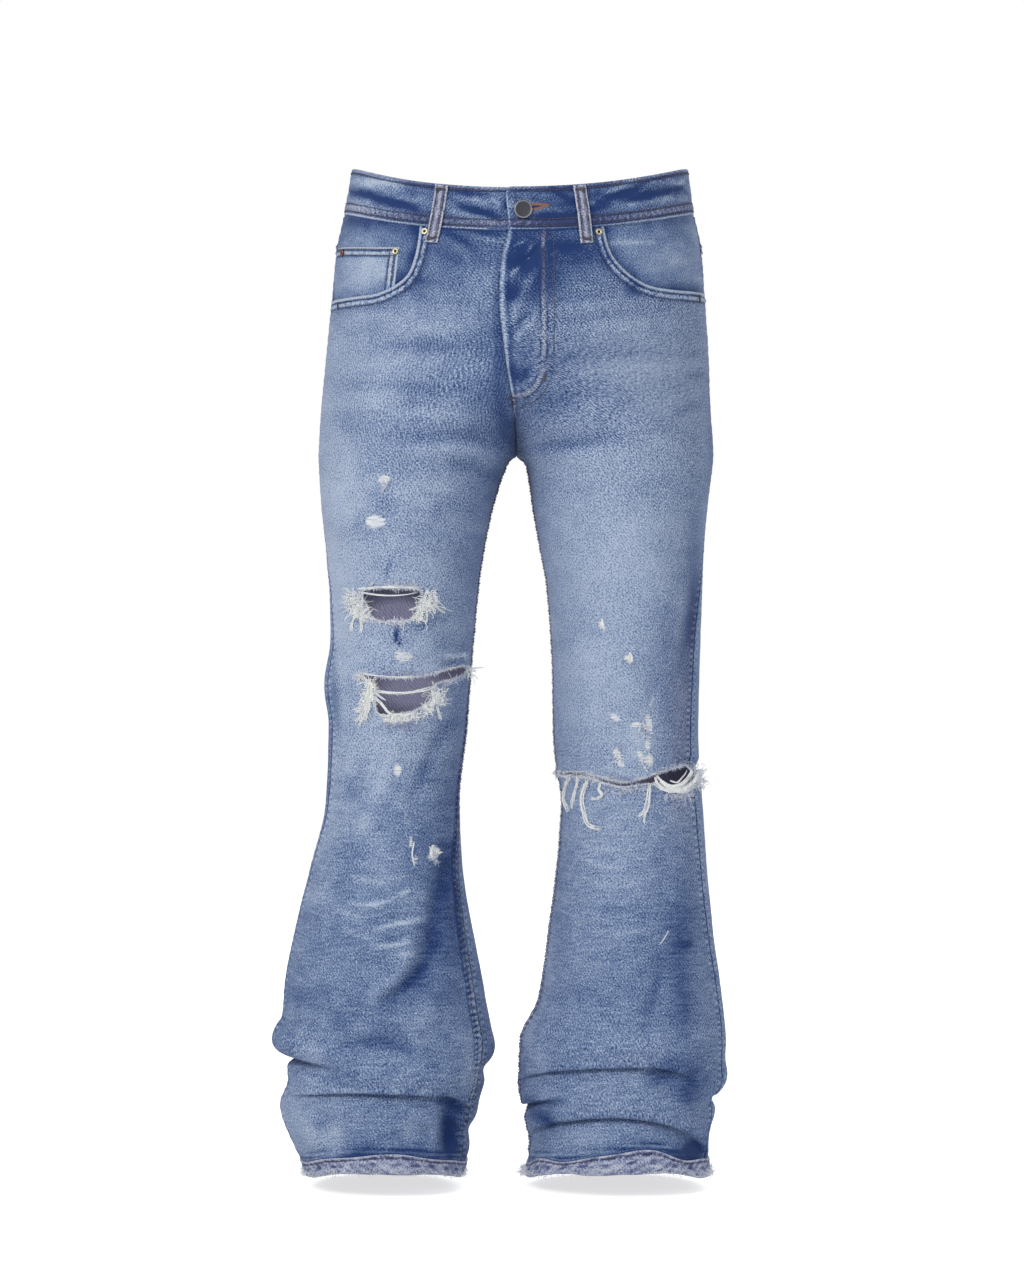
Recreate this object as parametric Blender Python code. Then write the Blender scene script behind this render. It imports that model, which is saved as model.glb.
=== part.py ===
"""Ripped, flared five-pocket jeans in the hollow shape they have when worn.

Every piece of cloth is a wall between an outer and an inner face. Both come from one surface, the
skin of the jeans, which is worked out from short tables of girth: the outline from the front, the
profile from the side and the stack folds above the hems. Lengths in the tables are millimetres,
the model is in metres. +Z is up, the front faces -Y, and +X is the wearer's left. The origin is the
middle of the waist opening. A "drop" is a distance below the waist at the side seam.
"""

import math

import bmesh
import bpy
import numpy as np

MM = 0.001

# ---------------------------------------------------------------- driving dimensions
BAND_HEIGHT = 46.0  # waistband
HEM_HEIGHT = 20.0
FULL_DROP = 1003.0  # waist to hem at the side seam
CROTCH = 287.0
SPLIT_TOP = 165.0  # where the two halves start to part towards the crotch
CROTCH_SPREAD = 8.0  # how far the thick seams of the crotch hold each inner leg from the middle
CROTCH_SPREAD_FADE = 15.0

DENIM = 2.0  # wall of the panels
FACING = 1.6  # thinner cloth behind and on the panels
BAND = 3.0  # folded waistband
HEM = 3.0  # turned hem
SEAM_GAP = 0.3
HALF_GAP = SEAM_GAP / 2

FRONT_DIP = 28.0  # how much lower the waist is at the centre front
BACK_DIP = 5.0
DIP_FADE = 210.0  # drop at which the dip of the waist has died out
HEM_RISE = 12.0  # how much higher the hem is at the front
HEM_TRAIL = 6.0  # how much lower it is at the back
HEM_FADE = 150.0

# ---------------------------------------------------------------- section tables
# Outline of each half seen from the front: side seam and, below the crotch, inseam.
OUTLINE = ("drop", "outer", "inner")
OUTLINE_RIGHT = (
    (0, -168, 0),
    (46, -176, 0),
    (80, -183, 0),
    (132, -188, 0),
    (191, -194, 0),
    (240, -198.5, 0),
    (CROTCH, -201.5, -3.5),
    (291, -201.3, -5),
    (297, -201, -10),
    (312, -200, -18.5),
    (337, -198, -27),
    (391, -192, -38),
    (425, -189.5, -42.5),
    (470, -189.5, -47),
    (515, -195, -50.5),
    (555, -191, -53),
    (632, -194, -60.5),
    (690, -207, -58),
    (753, -222.5, -48.5),
    (827, -235.5, -34),
    (870, -237, -28),
    (907, -231, -34),
    (932, -239, -43),
    (985, -220, -52),
    (1003, -213, -57),
)
OUTLINE_LEFT = (
    (0, 168, 0),
    (46, 174, 0),
    (80, 181, 0),
    (132, 185, 0),
    (191, 188.5, 0),
    (240, 190.5, 0),
    (CROTCH, 193, -3.5),
    (291, 192.7, -2),
    (297, 192, 3),
    (312, 190, 8),
    (337, 187, 13),
    (391, 182.5, 23),
    (425, 182, 28),
    (508, 179, 33),
    (570, 178, 34.5),
    (632, 182, 42),
    (690, 186, 37.5),
    (753, 192, 29),
    (827, 202, 18),
    (870, 206, 0),
    (932, 197, 2),
    (970, 188, 9),
    (1003, 189, 6),
)
# Side profile, for both legs: how far the cloth stands in front of and behind the origin.
PROFILE = ("drop", "front", "back", "squareness")
PROFILE_ROWS = (
    (0, 105, 108, 2.30),
    (46, 108, 113, 2.30),
    (80, 111, 119, 2.30),
    (132, 114, 127, 2.30),
    (191, 115, 132, 2.25),
    (240, 112, 130, 2.20),
    (CROTCH, 108, 120, 2.15),
    (354, 101, 101, 2.10),
    (425, 96, 88, 2.05),
    (508, 90, 76, 2.00),
    (570, 84, 67, 2.00),
    (632, 82, 66, 2.00),
    (690, 84, 70, 2.00),
    (753, 86, 74, 2.00),
    (827, 85, 76, 2.05),
    (870, 85, 77, 2.10),
    (932, 92, 84, 2.10),
    (1003, 98, 94, 2.10),
)
# The centre seams above the crotch, seen from the front and from behind.
CENTRE = ("drop", "front_x", "back_x")
CENTRE_ROWS = (
    (0, -15, 0),
    (46, -11, 0),
    (82, -17, 0),
    (130, -18.5, 0),
    (170, -16, 0),
    (205, -12, -1),
    (240, -5.5, -3),
    (CROTCH, -3.5, -3.5),
)
# How far the leg seams are turned towards the front, in degrees round the leg.
TURN = ("drop", "outseam_right", "inseam_right", "outseam_left", "inseam_left")
TURN_ROWS = (
    (0, 0, 0, 0, 0),
    (330, 0, 0, 0, 0),
    (470, 20, 0, 26, 0),
    (590, 22, 4, 30, 0),
    (710, 12, 20, 26, 6),
    (830, 6, 26, 20, 6),
    (920, 8, 24, 18, 4),
    (1003, 8, 22, 16, 4),
)
# Stack folds. Angles go round the leg from the inseam (0) by the front (90) to the outseam (180) and
# the back (270). Each fold runs between two end angles through its highest point, deepest there.
FOLD = ("peak_angle", "inner_angle", "outer_angle", "peak_drop", "inner_drop", "outer_drop",
        "depth", "reach")
FOLDS_RIGHT = (
    (178, 104, 250, 888, 890, 898, 33, 27),
    (90, 20, 166, 908, 932, 916, 14, 28),
    (40, -70, 76, 952, 960, 956, 9, 26),
    (-35, -110, 30, 905, 915, 900, 12, 28),
    (262, 205, 335, 935, 944, 948, 16, 30),
    (300, 235, 350, 880, 890, 884, 10, 28),
)
FOLDS_LEFT = (
    (93, 26, 138, 885, 903, 906, 14, 28),
    (10, -60, 60, 934, 940, 924, 15, 26),
    (86, 28, 156, 937, 956, 960, 14, 24),
    (185, 140, 262, 925, 936, 932, 12, 26),
    (285, 215, 345, 895, 908, 905, 15, 30),
    (245, 190, 325, 948, 955, 958, 12, 26),
)
# Rips through the front panels, as points across (x) and down (drop) seen from the front.
RIP_THIGH = ((-154, 426), (-150, 423), (-124, 424), (-102, 426), (-100, 436), (-107, 445),
             (-124, 451), (-138, 450), (-147, 446))
RIP_KNEE_RIGHT = ((-151, 502), (-118, 506), (-84, 502), (-57, 498), (-58, 508), (-80, 516),
                  (-88, 526), (-99, 534), (-116, 539), (-133, 538), (-143, 524))
RIP_KNEE_LEFT = ((43, 600), (72, 605), (100, 604), (130, 597), (168, 594), (172, 606), (160, 615),
                 (130, 617), (92, 617), (64, 611), (44, 604))
# Pocket mouths, from the waistband to the side seam.
MOUTH_RIGHT = ((-98, 62), (-99, 74), (-103, 97), (-114, 117), (-137, 130), (-165, 133), (-192, 133))
MOUTH_LEFT = ((81, 62), (83, 74), (88, 92), (96, 104), (110, 115), (127, 123), (150, 126), (188, 125))

# ---------------------------------------------------------------- trim sizes
LOOP_WIDTH = 13.0
LOOP_THICK = 2.0
LOOP_LIFT = 2.6  # room behind a belt loop at its middle
LOOP = ("name", "half", "face", "top_x", "bottom_x", "top_drop", "bottom_drop")
LOOP_ROWS = (
    ("belt_loop_front_right", "right", "front", -76.5, -86, 2, 64),
    ("belt_loop_front_left", "left", "front", 57, 65, 2, 64),
    ("belt_loop_side_right", "right", "back", -130, -134, 2, 60),
    ("belt_loop_side_left", "left", "back", 130, 134, 2, 60),
    ("belt_loop_back", "left", "back", 7, 7, 2, 60),
)
BUTTON_RADIUS = 8.8
BUTTON_X, BUTTON_DROP = 3.0, 51.0
RIVET = ("name", "half", "x", "drop", "lift", "colour")
COPPER = (0.45, 0.22, 0.12, 1)
BRASS = (0.42, 0.36, 0.18, 1)
RIVET_ROWS = (
    ("rivet_pocket_right", "right", -93, 71.5, 0.0, BRASS),
    ("rivet_pocket_left", "left", 76.5, 72, 0.0, BRASS),
    ("rivet_coin_outer", "right", -174, 87, -0.4, COPPER),
    ("rivet_coin_inner", "right", -121, 90, -0.4, BRASS),
)
RIVET_RADIUS = 3.4

DENIM_COLOUR = (0.25, 0.34, 0.56, 1)
DARK_DENIM = (0.14, 0.21, 0.42, 1)
PALE_DENIM = (0.36, 0.44, 0.62, 1)
GUNMETAL = (0.06, 0.06, 0.065, 1)


# ---------------------------------------------------------------- curves through the tables
def through(rows, names, name, at):
    """Value of the column `name` at the drops `at`: a monotone cubic through the table's rows."""
    xs = np.array([row[0] for row in rows], float)
    ys = np.array([row[names.index(name)] for row in rows], float)
    step = np.diff(xs)
    slope = np.diff(ys) / step
    tangent = np.concatenate([slope[:1], np.zeros(len(xs) - 2), slope[-1:]])
    before, after = slope[:-1], slope[1:]
    same_way = before * after > 0
    w_before = 2 * step[1:] + step[:-1]
    w_after = step[1:] + 2 * step[:-1]
    with np.errstate(divide="ignore", invalid="ignore"):
        mean = (w_before + w_after) / (w_before / before + w_after / after)
    tangent[1:-1] = np.where(same_way, mean, 0)
    at = np.clip(np.asarray(at, float), xs[0], xs[-1])
    k = np.clip(np.searchsorted(xs, at, side="right") - 1, 0, len(step) - 1)
    t = (at - xs[k]) / step[k]
    return (
        (1 + 2 * t) * (1 - t) ** 2 * ys[k]
        + t * (1 - t) ** 2 * step[k] * tangent[k]
        + t * t * (3 - 2 * t) * ys[k + 1]
        + t * t * (t - 1) * step[k] * tangent[k + 1]
    )


def smooth(t):
    """Smooth step from 0 at t = 0 to 1 at t = 1."""
    t = np.clip(t, 0, 1)
    return t * t * (3 - 2 * t)


# ---------------------------------------------------------------- the skin of the jeans
def section(half, face, drop):
    """The superellipse of one half at a drop: its middle x, half width (signed towards the inner
    side), middle y, half depth, power, and the angle at which the half starts.

    Above SPLIT_TOP a half is a quarter ellipse from the centre seam to the side seam. From there to
    the crotch its middle moves outwards and the start angle falls from 90 degrees to 0, so that the
    seam runs down and under to the crotch point. Below that each leg is a whole ellipse.
    """
    rows = OUTLINE_RIGHT if half == "right" else OUTLINE_LEFT
    outer = through(rows, OUTLINE, "outer", drop)
    leg_inner = through(rows, OUTLINE, "inner", np.maximum(drop, CROTCH))
    centre = through(CENTRE_ROWS, CENTRE, face + "_x", np.minimum(drop, CROTCH))
    inner = np.where(drop > CROTCH, leg_inner, centre)
    front = through(PROFILE_ROWS, PROFILE, "front", drop)
    back = through(PROFILE_ROWS, PROFILE, "back", drop)
    power = through(PROFILE_ROWS, PROFILE, "squareness", drop)
    split = smooth((drop - SPLIT_TOP) / (CROTCH - SPLIT_TOP))
    half_width = (inner - outer) / (1 + split)
    start = np.arccos(np.clip(split ** (power / 2), 0, 1))
    return outer + half_width, half_width, (back - front) / 2, (back + front) / 2, power, start


def fold_shift(half, drop, angle):
    """Outward and downward shift by the stack folds at angles (degrees) round the leg.

    A fold is a roll of cloth over a crease: two bell curves above and below its line, faded out
    towards both ends of the line.
    """
    out = np.zeros_like(drop)
    down = np.zeros_like(drop)
    for row in FOLDS_RIGHT if half == "right" else FOLDS_LEFT:
        peak, inner_end, outer_end, peak_drop, inner_drop, outer_drop, depth, reach = row
        turn = (angle - peak + 180) % 360 - 180
        inwards = turn < 0
        span = np.where(inwards, peak - inner_end, outer_end - peak)
        fall = np.where(inwards, inner_drop, outer_drop) - peak_drop
        along = np.clip(np.abs(turn) / span, 0, 1)
        line = peak_drop + fall * along ** 1.8
        fade = (1 - along**2) ** 1.2
        across = (drop - line) / reach
        out += depth * fade * (0.35 * np.exp(-(((across + 0.55) / 0.45) ** 2))
                               - 0.60 * np.exp(-(((across - 0.25) / 0.34) ** 2)))
        down += 0.30 * depth * fade * np.exp(-(((across + 0.30) / 0.35) ** 2))
    return out, down


def skin(half, face, drop, angle):
    """Points of the outer surface. angle is 0 at the inner side and pi at the outer side of a half,
    on the front or on the back face; past pi it goes on round to the other face."""
    mid_x, half_width, mid_y, half_depth, power, _ = section(half, face, drop)
    across, away = np.cos(angle), np.sin(angle)
    x_unit = np.sign(across) * np.abs(across) ** (2 / power)
    y_unit = np.sign(away) * np.abs(away) ** (2 / power) * (-1 if face == "front" else 1)
    frontness = -y_unit
    rise = smooth((drop - (FULL_DROP - HEM_FADE)) / HEM_FADE)
    dip = np.where(frontness > 0, FRONT_DIP, BACK_DIP) * frontness**2 * (1 - smooth(drop / DIP_FADE))
    trail = np.where(frontness > 0, -HEM_RISE, HEM_TRAIL) * frontness**2 * rise
    degrees = np.degrees(angle) if face == "front" else 360 - np.degrees(angle)
    out, down = fold_shift(half, drop, degrees)
    normal_x = x_unit / half_width
    normal_y = y_unit / half_depth
    length = np.sqrt(normal_x**2 + normal_y**2)
    below = drop - CROTCH
    spread = CROTCH_SPREAD * smooth(below / 2) * np.exp(-np.maximum(below, 0) / CROTCH_SPREAD_FADE)
    spread = spread * np.sign(half_width) * np.clip(x_unit, 0, 1) ** 4
    x = mid_x + half_width * x_unit - spread + out * normal_x / length
    y = mid_y + half_depth * y_unit + out * normal_y / length
    z = -(drop + dip + trail + down)
    return np.stack([x, y, z], -1)


def skin_at(half, face, drop, angle, lift=0.0):
    """Points of the skin, moved out along its normal by lift (in by a negative lift)."""
    drop = np.asarray(drop, float)
    angle = np.asarray(angle, float)
    place = skin(half, face, drop, angle)
    if np.all(lift == 0):
        return place
    small_drop, small_angle = 0.5, 0.004
    down = skin(half, face, drop + small_drop, angle) - skin(half, face, drop - small_drop, angle)
    round_ = skin(half, face, drop, angle + small_angle) - skin(half, face, drop, angle - small_angle)
    normal = np.cross(down, round_)
    normal /= np.linalg.norm(normal, axis=-1, keepdims=True)
    if (half == "right") == (face == "front"):
        normal = -normal
    return place + normal * np.asarray(lift, float)[..., None]


def angle_of(half, face, drop, x):
    """The angle at which the skin at a drop has this x."""
    mid_x, half_width, _, _, power, _ = section(half, face, np.asarray(drop, float))
    unit = np.clip((x - mid_x) / half_width, -1, 1)
    return np.arccos(np.sign(unit) * np.abs(unit) ** (power / 2))


def drop_for(half, face, x, height_drop):
    """The table drop at which the skin, at this x, is height_drop below the waist at the side."""
    drop = float(height_drop)
    for _ in range(20):
        angle = angle_of(half, face, drop, x)
        drop -= float(-skin(half, face, np.array(drop), angle)[2] - height_drop)
        drop = max(drop, 0.0)
    return drop


def seam_angles(half, face, drop):
    """Angles at which a panel starts (centre seam or inseam) and ends (outseam)."""
    start = section(half, face, drop)[5]
    outseam = np.radians(through(TURN_ROWS, TURN, "outseam_" + half, drop))
    inseam = np.radians(through(TURN_ROWS, TURN, "inseam_" + half, drop))
    sign = 1 if face == "front" else -1
    below = smooth((drop - CROTCH) / 40)
    return start + sign * inseam * below, math.pi - sign * outseam


# ---------------------------------------------------------------- meshes
def add_object(name, verts, faces, colour, rough=0.9, metal=0.0):
    """One closed object in metres from points in millimetres, with faces pointing out."""
    mesh = bpy.data.meshes.new(name)
    mesh.from_pydata([tuple(v * MM) for v in verts], [], faces)
    work = bmesh.new()
    work.from_mesh(mesh)
    bmesh.ops.recalc_face_normals(work, faces=work.faces)
    if work.calc_volume(signed=True) < 0:
        bmesh.ops.reverse_faces(work, faces=work.faces)
    work.to_mesh(mesh)
    work.free()
    material = bpy.data.materials.new(name)
    material.use_nodes = True
    shader = material.node_tree.nodes["Principled BSDF"]
    shader.inputs["Base Color"].default_value = colour
    shader.inputs["Roughness"].default_value = rough
    shader.inputs["Metallic"].default_value = metal
    mesh.materials.append(material)
    made = bpy.data.objects.new(name, mesh)
    bpy.context.scene.collection.objects.link(made)
    return made


def wall_mesh(outer, inner, closed=False):
    """Vertices and triangles of a closed wall between two grids of points (rows, columns, 3). Both
    grids are split along the same diagonals, so that walls on each other stay parallel. A closed wall
    joins its last column to its first."""
    rows, cols = outer.shape[:2]
    verts = np.concatenate([outer.reshape(-1, 3), inner.reshape(-1, 3)])
    size = rows * cols
    faces = []
    steps = cols if closed else cols - 1
    for i in range(rows - 1):
        for j in range(steps):
            a, b = i * cols + j, i * cols + (j + 1) % cols
            c, d = b + cols, a + cols
            faces += [(a, b, c), (a, c, d)]
            faces += [(size + c, size + b, size + a), (size + d, size + c, size + a)]
    for j in range(steps):
        a, b = j, (j + 1) % cols
        faces.append((a, size + a, size + b, b))
        a, b = a + (rows - 1) * cols, b + (rows - 1) * cols
        faces.append((a, b, size + b, size + a))
    if not closed:
        for i in range(rows - 1):
            a, b = i * cols, (i + 1) * cols
            faces.append((a, b, size + b, size + a))
            a, b = a + cols - 1, b + cols - 1
            faces.append((a, size + a, size + b, b))
    return verts, faces


def wall(name, half, face, drop, angle, outer_lift, thick, colour):
    """A wall whose outer face is the skin at the grids drop and angle, moved out by outer_lift."""
    outer = skin_at(half, face, drop, angle, np.full(drop.shape, float(outer_lift)))
    inner = skin_at(half, face, drop, angle, np.full(drop.shape, float(outer_lift - thick)))
    return add_object(name, *wall_mesh(outer, inner), colour)


def ladder(*stretches):
    """Drops down a panel: each stretch is (from, to, number of steps), with shared ends."""
    drops = [np.linspace(a, b, n + 1)[:-1] for a, b, n in stretches]
    return np.append(np.concatenate(drops), stretches[-1][1])


def prism(name, outline, y_low, y_high):
    """A cutter: the outline, in x and drop, made solid along Y."""
    count = len(outline)
    verts = [np.array((x, y, -drop), float) for y in (y_low, y_high) for x, drop in outline]
    faces = [tuple(range(count)), tuple(range(2 * count - 1, count - 1, -1))]
    faces += [(i, i + count, (i + 1) % count + count, (i + 1) % count) for i in range(count)]
    cutter = add_object(name, verts, faces, DENIM_COLOUR)
    cutter.hide_render = True
    cutter.display_type = "WIRE"
    return cutter


def cut(piece, cutter, operation="DIFFERENCE"):
    """Boolean of the piece with a cutter, left live on the piece."""
    modifier = piece.modifiers.new(cutter.name, "BOOLEAN")
    modifier.operation = operation
    modifier.solver = "EXACT"
    modifier.object = cutter


def rounded(points, steps=3):
    """A Catmull-Rom curve through points, with this many chords for each span."""
    p = np.array(points, float)
    p = np.concatenate([[2 * p[0] - p[1]], p, [2 * p[-1] - p[-2]]])
    curve = []
    for a, b, c, d in zip(p, p[1:], p[2:], p[3:]):
        for t in np.arange(steps) / steps:
            curve.append(0.5 * (2 * b + (c - a) * t + (2 * a - 5 * b + 4 * c - d) * t**2
                                + (3 * b - a - 3 * c + d) * t**3))
    curve.append(p[-2])
    return [tuple(q) for q in curve]


def pocket_corner(name, mouth, side, grow=0.0):
    """Cutter of the hip corner outside a pocket mouth, its edge moved out by grow."""
    line = [(x + side * grow, drop - grow) for x, drop in rounded(mouth)]
    above, beyond = BAND_HEIGHT - 30, 260 * side
    outline = [(line[0][0], above)] + line + [(beyond, line[-1][1]), (beyond, above)]
    return prism(name, outline, -200, 60)


# ---------------------------------------------------------------- the pieces
PANEL_TOP = BAND_HEIGHT + SEAM_GAP
PANEL_END = FULL_DROP - HEM_HEIGHT - SEAM_GAP
QUARTER_COLUMNS = 8
SEAT_TOP = 190.0  # rows of the back panels above this are slanted to meet the yoke seam
PANEL_DROPS = ladder((PANEL_TOP, SEAT_TOP, 5), (SEAT_TOP, 262, 4), (262, 280, 2), (280, CROTCH, 1),
                     (CROTCH, 290.5, 1), (290.5, 299, 1), (299, 600, 9), (600, 840, 6),
                     (840, PANEL_END, 15))


def panel_grid(half, face):
    """Drops and angles of a whole front or back panel's points, between its seams."""
    share = np.linspace(0, 1, QUARTER_COLUMNS + 1)[None, :]
    drop = np.repeat(PANEL_DROPS[:, None], QUARTER_COLUMNS + 1, 1)
    if face == "back":
        down = (SEAT_TOP - drop) / (SEAT_TOP - PANEL_TOP)
        top = yoke_line(share) + HALF_GAP
        drop = np.where(drop < SEAT_TOP, SEAT_TOP - (SEAT_TOP - top) * down, drop)
    _, half_width, _, half_depth, _, _ = section(half, face, drop[:, 0])
    trim = HALF_GAP / ((np.abs(half_width) + half_depth) / 2)
    first = seam_angles(half, face, drop[:, 0])[0] + np.where(drop[:, 0] > CROTCH, trim, 0)
    last = seam_angles(half, face, drop[:, -1])[1] - trim
    return drop, first[:, None] + (last - first)[:, None] * share


def panel(name, half, face, drop, angle, colour):
    """A wall of denim whose first column keeps half a seam gap from the centre seam."""
    side = -1 if half == "right" else 1
    outer = skin_at(half, face, drop, angle)
    inner = skin_at(half, face, drop, angle, np.full(drop.shape, -DENIM))
    above = drop[:, 0] <= CROTCH
    for grid in (outer, inner):
        grid[above, 0, 0] += side * HALF_GAP
    return add_object(name, *wall_mesh(outer, inner), colour)


def patch(name, half, face, rows, columns, lift, colour):
    """A wall of thinner cloth over or behind some of a panel's own points."""
    drop, angle = panel_grid(half, face)
    return wall(name, half, face, drop[rows, columns], angle[rows, columns], lift, FACING, colour)


def front_panels():
    """Two fronts, each from the centre seam and inseam to the outseam, with the pocket corner and
    the rips cut out."""
    rips = {"right": (("thigh_rip", RIP_THIGH), ("knee_rip_right", RIP_KNEE_RIGHT)),
            "left": (("knee_rip_left", RIP_KNEE_LEFT),)}
    mouths = {"right": (MOUTH_RIGHT, -1), "left": (MOUTH_LEFT, 1)}
    for half in ("right", "left"):
        drop, angle = panel_grid(half, "front")
        front = panel("front_panel_" + half, half, "front", drop, angle, DENIM_COLOUR)
        cut(front, pocket_corner("mouth_cutter_" + half, *mouths[half]))
        for name, outline in rips[half]:
            cut(front, prism(name, outline, -160, -30))


def yoke_line(share):
    """Drop of the yoke seam, from the centre back (0) to the side seam (1)."""
    return 121 - 37 * share


def back_panels():
    """Two backs, from the yoke seam to the hem, and the two yokes above them."""
    for half in ("right", "left"):
        drop, angle = panel_grid(half, "back")
        panel("back_panel_" + half, half, "back", drop, angle, DENIM_COLOUR)

        share = np.linspace(0, 1, QUARTER_COLUMNS + 1)
        rows = np.linspace(0, 1, 4)[:, None]
        low = yoke_line(share)[None, :] - HALF_GAP
        yoke_drop = PANEL_TOP + (low - PANEL_TOP) * rows
        yoke_angle = np.repeat(angle[:1], 4, 0)
        panel("yoke_" + half, half, "back", yoke_drop, yoke_angle, DARK_DENIM)


def pocket_facings():
    """Cloth behind the pocket mouths, and the coin pocket that lies on the right one."""
    behind = -(DENIM + SEAM_GAP)
    for half in ("right", "left"):
        patch("pocket_facing_" + half, half, "front", slice(0, 5), slice(2, None), behind, PALE_DENIM)
    on_facing = behind + SEAM_GAP + FACING
    coin = patch("coin_pocket", "right", "front", slice(1, 5), slice(3, None), on_facing, PALE_DENIM)
    outline = ((-186, 79), (-119, 84.5), (-123, 150), (-186, 150))
    cut(coin, prism("coin_outline", outline, -200, 60), "INTERSECT")
    cut(coin, pocket_corner("coin_cutter", MOUTH_RIGHT, -1, grow=0.7), "INTERSECT")


def back_pockets():
    """Two plain five-sided patches on the seat."""
    for half, side in (("right", -1), ("left", 1)):
        pocket = patch("back_pocket_" + half, half, "back", slice(0, 11), slice(1, 8),
                       SEAM_GAP + FACING, DENIM_COLOUR)
        outline = [(side * x, drop) for x, drop in ((40, 130), (150, 126), (146, 262), (98, 282), (48, 266))]
        cut(pocket, prism("pocket_outline_" + half, outline, 40, 200), "INTERSECT")


def waistband():
    """One strip round the waist. It starts under the front closure, runs round by the right side, the
    back and the left side, and its end laps over the start at the centre front."""
    drops = np.array([0.0, BAND_HEIGHT / 2, BAND_HEIGHT])
    quarter = np.linspace(0, 1, QUARTER_COLUMNS + 1)
    centre = math.pi / 2
    under_x = 14.0
    under = angle_of("left", "front", drops, under_x)
    end = HALF_GAP / 170
    parts = []
    lap = BAND + SEAM_GAP
    steps = np.array([0.0, 0.5])
    under_angle = under[:, None] + (centre - under[:, None]) * steps[None, :]
    parts.append(("left", "front", under_angle, np.full(2, -lap)))
    angle = np.repeat((centre + (math.pi - centre) * quarter)[None, :], 3, 0)
    parts.append(("right", "front", angle, -lap * (1 - smooth(quarter / 0.2))))
    parts.append(("right", "back", angle[:, ::-1][:, 1:], np.zeros(QUARTER_COLUMNS)))
    parts.append(("left", "back", angle[:, 1:], np.zeros(QUARTER_COLUMNS)))
    last = angle[:, ::-1][:, 1:].copy()
    last[:, -1] += end
    parts.append(("left", "front", last, np.zeros(QUARTER_COLUMNS)))
    outer, inner = [], []
    for half, face, angles, lift in parts:
        drop = np.repeat(drops[:, None], angles.shape[1], 1)
        lift = np.repeat(lift[None, :], 3, 0)
        outer.append(skin_at(half, face, drop, angles, lift))
        inner.append(skin_at(half, face, drop, angles, lift - BAND))
    verts, faces = wall_mesh(np.concatenate(outer, 1), np.concatenate(inner, 1))
    add_object("waistband", verts, faces, DARK_DENIM)


def fly_shield():
    """A strip behind the centre front seam, from the waistband to the end of the fly."""
    lift = -(DENIM + SEAM_GAP)
    rows = slice(0, 8)
    outer, inner = [], []
    for half, columns in (("right", slice(1, None, -1)), ("left", slice(1, 2))):
        drop, angle = (grid[rows, columns] for grid in panel_grid(half, "front"))
        outer.append(skin_at(half, "front", drop, angle, np.full(drop.shape, lift)))
        inner.append(skin_at(half, "front", drop, angle, np.full(drop.shape, lift - FACING)))
    shield = add_object("fly_shield", *wall_mesh(np.concatenate(outer, 1), np.concatenate(inner, 1)),
                        DARK_DENIM)
    outline = ((-38, 71.5), (22, 71.5), (22, 190), (6, 206), (-24, 206))
    cut(shield, prism("shield_outline", outline, -160, -40), "INTERSECT")


def hems():
    """A turned hem round each leg, below the panels and in line with their points."""
    drops = np.array([FULL_DROP - HEM_HEIGHT, FULL_DROP])
    for half in ("right", "left"):
        front = panel_grid(half, "front")[1][-1]
        back = 2 * math.pi - panel_grid(half, "back")[1][-1]
        # The front's formula goes all the way round, because front and back share their section here.
        turn = np.concatenate([front, back[-2:0:-1]])
        angle = np.repeat(turn[None, :], 2, 0)
        drop = np.repeat(drops[:, None], len(turn), 1)
        outer = skin_at(half, "front", drop, angle)
        inner = skin_at(half, "front", drop, angle, np.full(drop.shape, -HEM))
        add_object("hem_" + half, *wall_mesh(outer, inner, closed=True), PALE_DENIM)


def belt_loops():
    """Five strips over the waistband, sewn down at both ends and standing off between them."""
    down = np.linspace(0, 1, 6)
    lift = SEAM_GAP + LOOP_LIFT * np.sin(math.pi * down) ** 0.6
    for name, half, face, top_x, bottom_x, top_drop, bottom_drop in LOOP_ROWS:
        drops = top_drop + (bottom_drop - top_drop) * down
        middle = top_x + (bottom_x - top_x) * down
        centre = angle_of(half, face, drops, middle)
        near = skin(half, face, drops, centre)
        ahead = skin(half, face, drops, centre + 0.01)
        per_mm = 0.01 / np.linalg.norm(ahead - near, axis=1)
        offset = np.array([-0.5, 0, 0.5]) * LOOP_WIDTH
        angle = centre[:, None] + offset[None, :] * per_mm[:, None]
        drop = np.repeat(drops[:, None], 3, 1)
        grid_lift = np.repeat(lift[:, None], 3, 1)
        outer = skin_at(half, face, drop, angle, grid_lift + LOOP_THICK)
        inner = skin_at(half, face, drop, angle, grid_lift)
        add_object(name, *wall_mesh(outer, inner), PALE_DENIM)


def turned(name, half, x, height_drop, profile, lift, colour, sides):
    """A turned piece on the front, its axis along the skin's normal. profile holds (radius, height)
    pairs from the middle of its top down to the middle of its bottom."""
    drop = drop_for(half, "front", x, height_drop)
    angle = angle_of(half, "front", drop, x)
    base = skin_at(half, "front", drop, angle, np.array(lift + SEAM_GAP))
    axis = skin_at(half, "front", drop, angle, np.array(lift + 1.0 + SEAM_GAP)) - base
    across = np.cross(axis, (0, 0, 1.0))
    across /= np.linalg.norm(across)
    upward = np.cross(across, axis)
    verts = [base + axis * profile[0][1]]
    for radius, height in profile[1:-1]:
        for k in range(sides):
            turn = 2 * math.pi * k / sides
            verts.append(base + axis * height + radius * (across * math.cos(turn) + upward * math.sin(turn)))
    verts.append(base + axis * profile[-1][1])
    rings = len(profile) - 2
    faces = []
    for k in range(sides):
        nxt = (k + 1) % sides
        faces.append((0, 1 + k, 1 + nxt))
        for r in range(rings - 1):
            a = 1 + r * sides
            faces.append((a + k, a + sides + k, a + sides + nxt, a + nxt))
        last = 1 + (rings - 1) * sides
        faces.append((last + k, len(verts) - 1, last + nxt))
    add_object(name, verts, faces, colour, rough=0.35, metal=0.9)


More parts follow.
